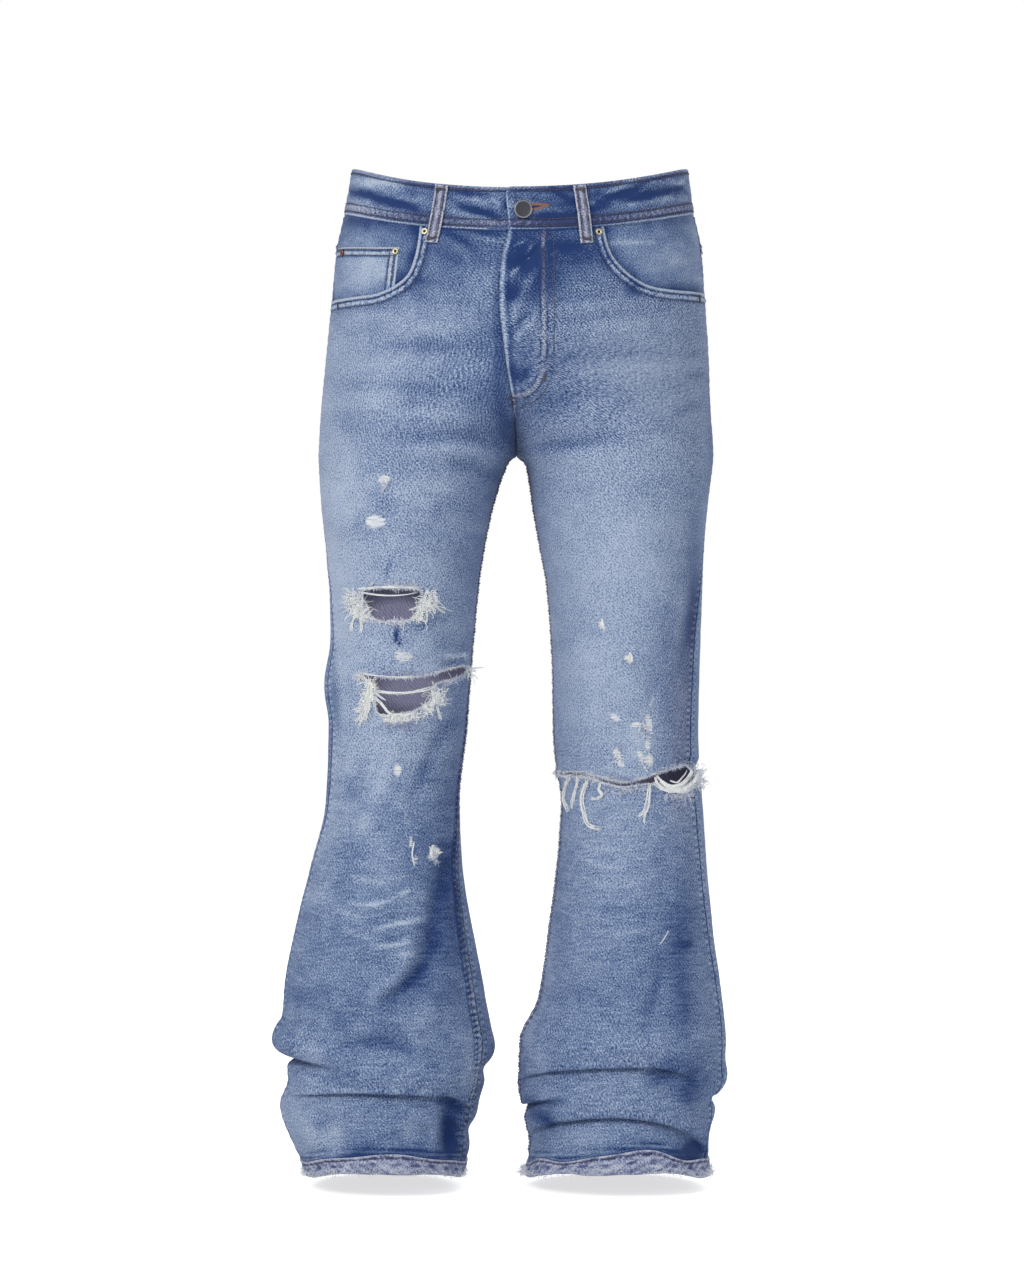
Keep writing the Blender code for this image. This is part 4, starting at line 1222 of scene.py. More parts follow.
def new_material(name):
    """An empty material and its sketch."""
    material = bpy.data.materials.new(name)
    material.use_nodes = True
    material.node_tree.nodes.clear()
    return material, Sketch(material.node_tree)


FLOAT, COLOUR, VECTOR = "NodeSocketFloat", "NodeSocketColor", "NodeSocketVector"


def twill_group():
    """Weave of the denim: slanting twill ribs whose run sways a little, broken up by uneven yarns, and
    slubs along the warp."""
    s, given, out = new_group(
        "Twill weave", (("Flat", VECTOR, None), ("Pitch", FLOAT, 0.0028)),
        (("Ribs", FLOAT), ("Heather", FLOAT), ("Slub", FLOAT), ("Weft", FLOAT)))
    flat = given["Flat"]
    slant = s.dot(flat, (0.80, 0.60, 0))
    sway = s.noise(flat, 52, 1) * 2.6 + s.noise(flat, 330, 1) * 0.9
    run = s.wire("ShaderNodeCombineXYZ", {0: slant, 1: s.dot(flat, (-0.24, 0.32, 0))})
    fine = s.noise(run, 1250, 1) * 0.55 + s.noise(flat, 900, 1) * 0.45
    s.put(out["Ribs"], s.math("SINE", (slant / given["Pitch"] + sway) * math.tau))
    s.put(out["Heather"], fine * 0.80 + s.noise(flat, 470, 1) * 0.20)
    s.put(out["Slub"], s.noise(s.scaled(flat, (560, 60, 1)), 1.0, 2, 0.6))
    s.put(out["Weft"], s.noise(s.scaled(flat, (80, 860, 1)), 1.0, 2, 0.7))
    return s.tree


def denim_group(twill):
    """Washed indigo denim. How worn it is, with painted shade, moves the colour from deep blue to pale;
    yarns and blotches vary it; rolled edges are rubbed pale, with painted shade in the stitch grooves
    beside them and a painted shadow line outside; seams lie in a dark line with ladder-like puckers;
    bare places show white weft."""
    colours = [(title, COLOUR, None) for title in ("Deep", "Mid", "Pale", "Weft colour")]
    s, given, out = new_group(
        "Washed denim",
        (("Flat", VECTOR, None), ("Wear", FLOAT, 0.5), ("Bare", FLOAT, 0.0), ("Edge", FLOAT, FAR),
         ("Seam", FLOAT, FAR), *colours, ("Contrast", FLOAT, 1.0), ("Lilac", FLOAT, 0.0),
         ("Crisp", FLOAT, 0.0), ("Rim", FLOAT, 0.0), ("Groove", FLOAT, 0.0)),
        (("Colour", COLOUR), ("Roughness", FLOAT), ("Height", FLOAT)))
    flat, wear_and_shade, edge, seam = (given[title] for title in ("Flat", "Wear", "Edge", "Seam"))
    weave = s.group(twill, {"Flat": flat})
    ribs, heather, slub, weft = (weave[title] for title in ("Ribs", "Heather", "Slub", "Weft"))
    warp = s.dot(flat, (0, 1, 0))  # metres up the cloth, from the waist

    # yarns, crisper above; streaks across the legs below
    grain = (heather - 0.5) * 3.4 + ribs * s.remap(warp, -0.40, -0.20, 0.09, 0.12) + (slub - 0.5) * 0.40
    grain *= (given["Contrast"] + given["Crisp"]) * s.remap(wear_and_shade, 0.05, 0.42, 0.5, 1.0)
    streaks = s.noise(s.scaled(flat, (60, 330, 1)), 1.0, 1)
    grain += s.remap(warp, -0.50, -0.66, 0, 1) * (streaks - 0.5) * 0.45
    tone = wear_and_shade + grain + (s.noise(flat, 75, 3, 0.55) - 0.5) * 0.24

    # rolled edges: a rubbed ridge, a stitch groove darkened with painted shade, a second ridge and a painted
    # shadow line outside
    for peak, reach, amount in ((1.1, 2.4, 0.80), (3.8, 1.5, -0.62), (6.3, 2.2, 0.42), (9.6, 1.5, -0.40)):
        tone += s.tent(edge, peak, reach) * amount
    puckered = s.remap(edge, 2.6, 4.0, 0, 1) * s.remap(edge, 7.5, 9.5, 1, 0)
    tone += puckered * (s.noise(flat, 210, 1) - 0.5) * 1.6

    # folded rims and stitch grooves: Rim and Groove are 10 there and fall by 1 for each mm away; rims are
    # paler, grooves darker with painted shade
    tone += s.tent(given["Rim"], 9.1, 1.1) * 0.55 - s.remap(given["Groove"], 8.8, 9.8, 0, 1) * 0.42

    # seams: a dark line, a rubbed ridge beside it and a ladder of puckers
    jitter = s.noise(s.scaled(flat, (8, 40, 1)), 1.0, 1)
    rungs = s.math("SINE", (warp / 0.0066 + jitter * 1.6) * math.tau)
    laddered = s.remap(seam, 2.5, 4.0, 0, 1) * s.remap(seam, 7, 10.5, 1, 0)
    tone += s.tent(seam, 2.4, 1.4) * 0.14 + laddered * rungs * 0.24 - s.remap(seam, 0.3, 1.5, 0.45, 0.0)

    low = s.remap(tone, 0.0, 0.5, 0, 1, "LINEAR")
    high = s.remap(tone, 0.5, 1.0, 0, 1, "LINEAR")
    blue = s.mix(high, s.mix(low, given["Deep"], given["Mid"]), given["Pale"])
    lilac = s.mix(high, s.mix(low, srgb(62, 66, 102), srgb(136, 142, 168)), srgb(206, 209, 220))
    white = s.remap(given["Bare"] + (weft - 0.5) * 0.9, 0.40, 0.72, 0, 1)
    flecks = s.mix(s.remap(weft, 0.35, 0.6, 0, 1), given["Pale"], given["Weft colour"])
    s.put(out["Colour"], s.mix(white, s.mix(given["Lilac"], blue, lilac), flecks))
    s.put(out["Roughness"], s.remap(tone, 0.1, 0.9, 0.78, 0.92, "LINEAR"))
    s.put(out["Height"], ribs * 0.18 + heather * 0.9 + slub * 0.35 + weft * white * 0.7)
    return s.tree


def finish_material(s, colour, roughness, height=None, bump=0.0006, strength=0.9, metallic=0.0, sheen=0.0,
                    glow=None, power=0.0):
    """Links a Principled shader and its bump, with constants on the shader's own sockets. glow is the
    colour of the light that the surface gives off."""
    inputs = {"Base Color": colour, "Roughness": roughness, "Metallic": metallic}
    if sheen:
        inputs.update({"Sheen Weight": sheen, "Sheen Roughness": 0.55, "Sheen Tint": (0.72, 0.80, 1.0, 1)})
    if not metallic:
        inputs["Specular IOR Level"] = 0.22
    if height is not None:
        inputs["Normal"] = s.wire("ShaderNodeBump",
                                  {"Strength": strength, "Distance": bump, "Height": height})
    if glow is not None:
        inputs.update({"Emission Color": glow, "Emission Strength": power})
    s.node("ShaderNodeOutputMaterial", {"Surface": s.wire("ShaderNodeBsdfPrincipled", inputs)})


def denim_material(name, group, colours, contrast=1.0, wear_shift=0.0):
    """Denim whose worn places and painted shade, bare places, edges and seams follow the cloth's attributes."""
    material, s = new_material(name)
    inputs = {"Flat": s.flat(), "Wear": s.attribute("wear_and_shade") + wear_shift, "Contrast": contrast}
    for title in ("Bare", "Edge", "Seam", "Lilac", "Crisp", "Rim", "Groove"):
        inputs[title] = s.attribute(title.lower())
    inputs.update(zip(("Deep", "Mid", "Pale", "Weft colour"), colours))
    denim = s.group(group, inputs)
    finish_material(s, denim["Colour"], denim["Roughness"], denim["Height"], sheen=0.12)
    return material


def wrong_side_material(name, twill, dark, light):
    """The inner face of the denim: mostly pale weft with a little blue warp between. It gives off painted
    light in its own colour, as strong as its glow attribute: faint everywhere, brighter where light
    through the rips would fall.
    """
    material, s = new_material(name)
    weave = s.group(twill, {"Flat": s.scaled(s.flat(), (-1, 1, 1))})
    tone = weave["Heather"] * 0.9 + weave["Ribs"] * 0.12 + weave["Slub"] * 0.2
    colour = s.mix(s.remap(tone, 0.3, 0.85, 0, 1, "LINEAR"), dark, light)
    # painted light: the inner face gives off its own colour, as strong as its glow attribute
    finish_material(s, colour, s.remap(tone, 0.2, 0.9, 0.82, 0.94, "LINEAR"), tone, sheen=0.1,
                    glow=s.mix(s.attribute("glow"), (0, 0, 0, 1), colour), power=0.5)
    return material


def yarn_material(name, first, second, scale=900, fuzz=0.28, lit=0.0):
    """Thread or loose yarn: two colours by the piece's tint attribute, with fine twisted fibres. A
    little light of its own stands for what passes through loose cotton."""
    material, s = new_material(name)
    fibre = s.noise(s.place(), scale, 2, 0.6)
    patchy = (s.noise(s.place(), 60, 1) - 0.5) * 0.5
    tinted = s.mix(s.math("ADD", s.attribute("tint"), patchy, clamp=True), first, second)
    colour = s.mix(s.remap(fibre, 0.25, 0.75, 0.0, fuzz, "LINEAR"), tinted, (0.9, 0.9, 0.88, 1))
    finish_material(s, colour, s.remap(fibre, 0.2, 0.8, 0.7, 0.92, "LINEAR"), fibre, bump=0.0002, sheen=0.1,
                    glow=colour if lit else None, power=lit)
    return material


def metal_material(name, base, dulled_and_shaded, roughness):
    """Cast metal with dull patches, fine scratches and uneven roughness. The piece's shade attribute
    goes to the second colour: on the rivets painted shade in the hollow middle and down the cap's edge,
    on the button a lighter rim."""
    material, s = new_material(name)
    patchy = s.noise(s.place(), 420, 3, 0.6)
    scratch = s.noise(s.scaled(s.place(), (2600, 2600, 300)), 1.0, 2)
    second = s.math("MAXIMUM", s.remap(patchy, 0.45, 0.85, 0, 0.12), s.attribute("shade"))
    rough = s.remap(scratch, 0.3, 0.7, roughness - 0.08, roughness + 0.12, "LINEAR") + patchy * 0.1
    finish_material(s, s.mix(second, base, dulled_and_shaded), rough, patchy + scratch * 0.4,
                    bump=0.00012, strength=0.5, metallic=1.0)
    return material


MATERIALS = {}


def materials():
    """All the finishes, by slot or by use, made once from the colours in the panel."""
    if MATERIALS:
        return MATERIALS
    tint = bpy.context.scene.jeans_colours
    twill = twill_group()
    washed = denim_group(twill)
    colours = [tint.deep, tint.mid, tint.pale, tint.weft]
    greyed = [srgb(72, 76, 106), srgb(138, 143, 168), srgb(198, 201, 214), tint.weft]
    lilac = [srgb(70, 78, 122), srgb(134, 143, 176), srgb(196, 200, 216), tint.weft]
    MATERIALS.update({
        "denim": denim_material("washed denim", washed, colours),
        "waistband_denim": denim_material("waistband denim", washed, colours, 1.05),
        "yoke_denim": denim_material("yoke denim", washed, colours, 1.0, -0.04),
        "facing_denim": denim_material("pocket facing denim", washed, colours, 0.85),
        "hem_denim": denim_material("hem denim", washed, lilac, 1.15),
        "loop_denim": denim_material("belt loop denim", washed, greyed, 1.15),
        "inside": wrong_side_material("wrong side of denim", twill, tint.inside_dark, tint.inside),
        "thread": yarn_material("topstitch thread", tint.thread, tint.faded_thread, 1500, 0.08),
        "hole": yarn_material("buttonhole thread", srgb(150, 104, 86), srgb(112, 88, 90), 1500, 0.12),
        "fray": yarn_material("frayed yarn", tint.fray, tint.blue_fray, 1300, 0.28, 0.18),
        "button_metal": metal_material("gunmetal button", srgb(84, 84, 90), srgb(178, 178, 182), 0.42),
        "brass_rivet": metal_material("old brass rivet", srgb(216, 206, 172), srgb(40, 36, 32), 0.34),
        "copper_rivet": metal_material("copper rivet", srgb(168, 116, 112), srgb(84, 50, 52), 0.36),
    })
    return MATERIALS


# ---------------------------------------------------------------- denim panels
def ladder(*stretches):
    """Drops down a panel: each stretch is (from, to, step)."""
    drops = []
    for low, high, step in stretches:
        drops.append(np.linspace(low, high, max(int(round((high - low) / step)), 1) + 1)[:-1])
    return np.append(np.concatenate(drops), stretches[-1][1])


def yoke_line(share):
    """Drop of the yoke seam, from the centre back (0) to the side seam (1)."""
    return 121 - 37 * share


def panel_between_seams(half, face, drop, share, over=0.8):
    """Angles at the given shares between a panel's seams, a little beyond both of them so that two
    panels cross in the seam's groove."""
    first, last = seam_angles(half, face, drop)
    first, last = first - over / pace(half, face, drop, first), last + over / pace(half, face, drop, last)
    return first + (last - first) * share


def tucked(drop):
    """How far the panel sinks where it runs up into the waistband and down into the hem."""
    return -1.5 * (1 - smooth(drop, 44.5, 3.0)) - 1.0 * smooth((drop - (PANEL_END - 3)) / 8.0)


def panel_piece(half, face, drops, columns):
    """A front or back of washed denim: the surface between its seams on a grid of drops and shares,
    without the cells inside the openings, and given its thickness."""
    share = np.broadcast_to(spread(columns)[None, :], (len(drops), columns + 1))
    drop = np.repeat(drops[:, None], columns + 1, 1)
    if face == "back":
        down = (SEAT_TOP - drop) / (SEAT_TOP - drops[0])
        drop = np.where(drop < SEAT_TOP, SEAT_TOP - (SEAT_TOP - (yoke_line(share) - 5)) * down, drop)
    angle = panel_between_seams(half, face, drop, share)
    keep = np.ones((drop.shape[0] - 1, drop.shape[1] - 1), bool)
    if face == "front":
        beyond = (-1 if half == "right" else 1) * 400
        mouth = MOUTH_LINES[half]
        corner = np.vstack([mouth, [(beyond, mouth[-1, 1]), (beyond, 20), (mouth[0, 0], 20), mouth[0]]])
        holes = [(mouth, corner)] + [(line, line) for side, line in RIP_LINES if side == half]
        for line, outline in holes:
            cut_opening(half, face, drop, angle, keep, line, outline)
        # the waistband's under end lies deeper at the closure, and the panels with it
        deep, reach = (3.4, 60) if half == "right" else (1.9, 26)
        centre = seam_distances(half, face, drop, angle)[0]
        lift = tucked(drop) - deep * (1 - smooth(centre / reach)) * (1 - smooth(drop, 45, 3))
    else:
        under_yoke = yoke_line(share) - drop
        lift = tucked(drop) - 1.5 * smooth(under_yoke, -1, 2)
    points = surface(half, face, drop, angle, lift)
    fields = cloth_fields(half, face, drop, angle, points)
    if face == "back":
        fields["seam"] = np.minimum(fields["seam"], np.abs(under_yoke))
        fields["wear_and_shade"] -= 0.10 * bell(np.abs(under_yoke), 2, 6)
    else:
        # painted shade under the waistband
        fields["wear_and_shade"] -= 0.16 * bell(drop, 48, 7)
    above_hem = drop - hem_top(half, angle if face == "front" else -angle)
    fields["wear_and_shade"] -= 0.22 * bell(above_hem, -1, 9) * (0.5 + noise(angle * 9, drop * 0, 8))
    faces = grid_faces(*drop.shape, flip=(half == "right") != (face == "front"))[keep]
    cloth_piece(f"{face}_panel_{half}", points, faces, "denim", fields, flat_map(half, face, drop, angle),
                bpy.context.scene.jeans_sizes.denim)


def yoke_piece(half):
    """The yoke over the seat: from inside the waistband to its seam, its lower edge lapped over."""
    share, rows = np.meshgrid(spread(72), np.linspace(0, 1, 30))
    low = yoke_line(share)
    drop = CLOTH_TOP + (low - CLOTH_TOP) * rows
    angle = panel_between_seams(half, "back", drop, share)
    above = low - drop
    lift = tucked(drop) + 0.7 * (1 - smooth(above, 9, 4)) - 0.9 * bell(above / 0.9)
    points = surface(half, "back", drop, angle, lift)
    fields = cloth_fields(half, "back", drop, angle, points)
    # painted shade under the waistband
    fields["wear_and_shade"] -= 0.12 * bell(drop, 48, 7)
    fields["edge"] = np.minimum(fields["edge"], np.abs(above))
    cloth_piece("yoke_" + half, points, grid_faces(*drop.shape, flip=half == "right"), "yoke_denim", fields,
                flat_map(half, "back", drop, angle), bpy.context.scene.jeans_sizes.denim)


def facing_piece(half):
    """Cloth behind the pocket mouth, level with the panels again at the side seam."""
    share, drop = np.meshgrid(0.26 + 0.74 * spread(60), ladder((CLOTH_TOP, 154, 2.6)))
    angle = panel_between_seams(half, "front", drop, share)
    to_outer = seam_distances(half, "front", drop, angle)[1]
    place = skin(half, "front", drop, angle)
    x, z = place[..., 0], place[..., 2]
    lift = -2.3 + 1.5 * (1 - smooth(to_outer, 2, 16)) - 0.6 * bell(to_outer / 1.3)
    lift += 0.6 * (noise(x / 22, z / 9, 41) - 0.5) + 0.5 * (noise(x / 9, z / 14, 42) - 0.5)
    mouth = to_line(MOUTH_LINES[half], x, z)[0]
    wear_and_shade = 0.22 * (noise(x / 26, z / 8, 43) - 0.5) + 0.16 * (noise(x / 8, z / 5, 44) - 0.5)
    # painted shade under the pocket mouth's edge and under the waistband
    wear_and_shade -= 0.34 * bell(mouth / 8) + 0.16 * bell(drop, 48, 7)
    if half == "right":
        wear_and_shade += 0.30 + 0.30 * blot(x, z, -154, -80, 24, 12)
    else:
        fold = to_line(curve_through(((86, -82), (106, -81), (131, -80)), 12), x, z)[0]
        wear_and_shade += 0.45 + 0.30 * bell(fold / 2.0) + 0.16 * blot(x, z, 160, -96, 26, 22)
    cloth_piece("pocket_facing_" + half, raised(half, "front", drop, angle, lift),
                grid_faces(*drop.shape, flip=half == "left"), "facing_denim", fields_of(wear_and_shade, seam=to_outer),
                flat_map(half, "front", drop, angle), 0.0008)


COIN_TOP = ((-185, -79), (-165, -82), (-140, -84.5), (-118.5, -85.5))
COIN_SIDE = ((-118.5, -85.5), (-121, -104), (-126, -150))


def coin_piece():
    """The small patch on the right facing, its top and inner side turned under."""
    outer, inner, low = -186, -118.5, -150
    top, side = curve_through(COIN_TOP, 40), curve_through(COIN_SIDE, 30)
    across, down = np.meshgrid(spread(46, 0.5), spread(40, 0.4))
    top_z = np.interp(outer + (inner - outer) * across, top[:, 0], top[:, 1])
    z = top_z + (low - top_z) * down
    edge_x = np.interp(-z, -side[:, 1], side[:, 0])
    x = outer + (edge_x - outer) * across
    drop, angle = locate("right", "front", x, z)
    angle = np.minimum(angle, seam_angles("right", "front", drop)[1])
    edge = np.minimum(top_z - z, edge_x - x)
    to_outer = seam_distances("right", "front", drop, angle)[1]
    lift = -1.1 + 1.0 * (1 - smooth(to_outer, 2, 16)) - 0.8 * bell(edge / 0.9) + 0.35 * bell(edge, 5.5, 2.4)
    lift += 0.5 * (noise(x / 10, z / 9, 51) - 0.5)
    wear_and_shade = 0.56 + 0.30 * blot(x, z, -152, -108, 24, 15, power=3) + 0.2 * (noise(x / 9, z / 7, 52) - 0.5)
    # painted shade along the pocket mouth's edge
    wear_and_shade -= 0.16 * bell(to_line(MOUTH_LINES["right"], x, z)[0] / 5)
    cloth_piece("coin_pocket", raised("right", "front", drop, angle, lift), grid_faces(*drop.shape, flip=True),
                "facing_denim", fields_of(wear_and_shade, edge, to_outer), flat_map("right", "front", drop, angle),
                0.0009)


BACK_POCKET = ((40, -130), (150, -126), (146, -262), (98, -282), (48, -266))
POCKET_WIDTH, POCKET_HEIGHT = 104.0, 142.0  # from side to side and down to the blunt V


def back_pocket_point(side, across, down):
    """Place seen from the front of a back pocket's point: the sides run straight between the top and
    the blunt V of the bottom, all lightly bowed out."""
    (tx0, tz0), (tx1, tz1), (bx1, bz1), (mx, mz), (bx0, bz0) = BACK_POCKET
    low_x = bx0 + (bx1 - bx0) * across
    low_z = np.where(low_x < mx, bz0 + (mz - bz0) * smooth((low_x - bx0) / (mx - bx0)) ** 0.8,
                     mz + (bz1 - mz) * (1 - smooth((bx1 - low_x) / (bx1 - mx)) ** 0.8))
    top_x, top_z = tx0 + (tx1 - tx0) * across, tz0 + (tz1 - tz0) * across
    x = top_x + (low_x - top_x) * down
    return side * x, top_z + (low_z - top_z) * down


def back_pocket_piece(half):
    """A five-sided patch on the seat with turned edges and a slack mouth."""
    side = -1 if half == "right" else 1
    across, down = np.meshgrid(spread(56, 0.6), spread(64, 0.5))
    x, z = back_pocket_point(side, across, down)
    drop, angle = locate(half, "back", x, z)
    edge = np.minimum(np.minimum(across, 1 - across) * POCKET_WIDTH, (1 - down) * POCKET_HEIGHT)
    top = down * POCKET_HEIGHT
    lift = 1.9 - 1.3 * bell(np.minimum(edge, 90) / 1.1) + 0.5 * bell(np.minimum(edge, top), 5.5, 2.5)
    lift += 1.6 * bell(top / 16) * np.sin(math.pi * across) ** 2 + 0.7 * (noise(x / 24, z / 26, 61) - 0.5)
    points = surface(half, "back", drop, angle, lift)
    fields = cloth_fields(half, "back", drop, angle, points)
    fields["seam"] = np.full(x.shape, FAR)
    fields["edge"] = np.clip(np.minimum(edge, top), 0, FAR)
    fields["wear_and_shade"] += 0.12 * blot(x, z, side * 95, -215, 34, 40, power=3)
    cloth_piece("back_pocket_" + half, points, grid_faces(*drop.shape, flip=side < 0), "denim", fields,
                flat_map(half, "back", drop, angle), 0.0012)


def shield_piece():
    """The strip behind the front closure, down to the end of the fly."""
    drops = ladder((42, 204, 3.0))[:, None]
    centre = through(CENTRE_ROWS, CENTRE, "front_x", drops)
    narrowing = np.clip((214 - drops) / 40, 0.25, 1)
    parts, depths = [], []
    for half, x in (("right", centre + np.linspace(-24, 0, 10)),
                    ("left", centre + np.linspace(3, 30, 10) * narrowing)):
        drop = np.broadcast_to(drops, x.shape)
        parts.append(raised(half, "front", drop, angle_of(half, "front", drop, x), -2.6))
        depths.append(drop)
    points, drop = np.concatenate(parts, 1), np.concatenate(depths, 1)
    x = points[..., 0]
    cloth_piece("fly_shield", points, grid_faces(*x.shape, flip=True), "facing_denim",
                fields_of(0.3 + 0.2 * (noise(x / 12, drop / 12, 71) - 0.5)),
                np.stack([x, -drop], -1) * MM, 0.001)


# ---------------------------------------------------------------- waistband
BAND_ROWS = (4.4, 34.6, 42.0)  # drops of its stitch rows
LAP = 3.3  # how deep the end under the closure lies
# Columns as in CREASES.
BAND_CREASES = {
    ("right", "front"): (
        (-176, -21, -142, -36, -98, -49, 3.6, -1.6, -0.52),
        (-172, -14, -146, -18, -112, -27, 3.6, 0.8, 0.24),
        (-168, -40, -138, -47, -104, -55, 2.8, 0.8, 0.16),
        (-156, -17, -134, -21, -110, -27, 4.0, 0.3, 0.22),
        (-96, -14, -80, -16, -60, -15, 3.0, -0.5, -0.18),
        (-72, -42, -43, -51, -16, -60, 3.4, -1.5, -0.50),
        (-70, -50, -46, -57, -18, -64, 2.6, 0.8, 0.20),
        (-72, -32, -48, -35, -22, -38, 3.0, -0.8, -0.30),
        (-66, -38, -44, -42, -20, -46, 2.4, 0.5, 0.10),
        (-20, -48, -13, -46, -6, -44, 7.0, -0.5, -0.40),
    ),
    ("left", "front"): (
        (164, -22, 128, -33, 96, -42, 3.4, -1.5, -0.48),
        (128, -20, 104, -33, 72, -44, 3.2, -1.3, -0.42),
        (120, -15, 98, -27, 76, -38, 2.6, 0.7, 0.24),
        (168, -31, 117, -42, 76, -50, 2.8, 0.7, 0.22),
        (164, -16, 150, -18, 130, -24, 2.6, 0.5, 0.14),
        (58, -55, 36, -58, 14, -57, 2.8, -1.0, -0.34),
        (54, -44, 40, -36, 28, -27, 3.0, -0.9, -0.34),
        (60, -36, 50, -28, 42, -20, 2.4, -0.6, -0.24),
        (52, -42, 40, -44, 24, -50, 2.4, 0.6, 0.10),
        (66, -22, 84, -20, 100, -17, 3.0, -0.5, -0.16),
    ),
    ("right", "back"): (
        (-150, -18, -110, -22, -60, -20, 3.0, -0.9, -0.24),
        (-120, -30, -80, -28, -30, -31, 2.8, 0.6, 0.14),
    ),
    ("left", "back"): (
        (40, -20, 90, -24, 150, -18, 3.0, -0.9, -0.24),
        (30, -30, 70, -27, 120, -31, 2.8, 0.6, 0.14),
    ),
}


def band_relief(half, face, drop, x, z, along):
    """Height and tone on the waistband: its own creases, waves drawn out along it, a dent along each
    stitch row and puckers between the lower two. The tone follows the relief: painted shade in troughs
    and dents, paler ridges partly worn and partly painted highlight."""
    rise, tone = creased(BAND_CREASES[half, face], x, z, reach=99)
    middle = smooth(drop, 6, 6) * (1 - smooth(drop, 28, 6))
    waves = noise(along / 26, drop / 6.5, 81) - 0.5
    fine = noise(along / 8, drop / 3.4, 82) - 0.5
    rise += middle * (1.2 * waves + 0.4 * fine)
    tone += middle * (0.40 * waves + 0.24 * fine)
    for at in BAND_ROWS:
        rise -= 0.5 * bell(drop, at, 1.1)
        tone -= 0.10 * bell(drop, at, 1.4)
    rise += bell(drop, 38.3, 2.6) * (0.5 + 0.3 * np.sin(math.tau * along / 7.5))
    return rise, tone


def band_wear_and_shade(half, face, drop, x, along, tone):
    """How worn the waistband is, with painted shade: the tone of its creases and waves, slanting strokes
    between the lower stitch rows, pale folds above and below, painted shade at the top stitch row, and
    broad lighter and darker places along the front."""
    strokes = np.clip(np.sin(math.tau * (along + 0.5 * drop) / 7.2), -0.3, 1)
    wear_and_shade = 0.35 + 1.25 * tone + 0.10 * (noise(along / 40, drop / 12, 83) - 0.5)
    wear_and_shade += bell(drop, 38.3, 3.2) * (0.08 - 0.26 * strokes) - 0.06 * bell(drop, 40, 8)
    wear_and_shade += 0.34 * bell(drop, 45.6, 0.9) + 0.22 * bell(drop, 0.6, 1.2) - 0.12 * bell(drop, 4.4, 1.6)
    if face == "front":
        wear_and_shade += 0.20 * bell(x, -160, 18) * smooth(drop, 24, 8) - 0.18 * bell(x, 45, 42) * smooth(drop, 20, 8)
        wear_and_shade -= 0.16 * bell(x, -98, 36) + 0.08 * bell(x, 90, 40) + 0.26 * bell(x, 40, 44)
        wear_and_shade -= 0.10 * bell(x, -80, 36)
        if half == "right":
            wear_and_shade += 0.05 + 0.14 * bell(x, -125, 55) * bell(drop, 14, 12)
    return wear_and_shade


def band_profile():
    """Drops and lifts round the folded strip: outer face, lower fold, inner face, upper fold."""
    outer = spread(32, 0.5) * 44.0 + 1.0
    inner = np.linspace(45.0, 1.0, 9)
    drop = np.concatenate([outer, [45.7, 46.0, 45.7], inner, [0.3, 0.0, 0.3]])
    lift = np.concatenate([0 * outer, [-0.6, -1.5, -2.4], 0 * inner - 3.0, [-2.4, -1.5, -0.6]])
    return drop, lift


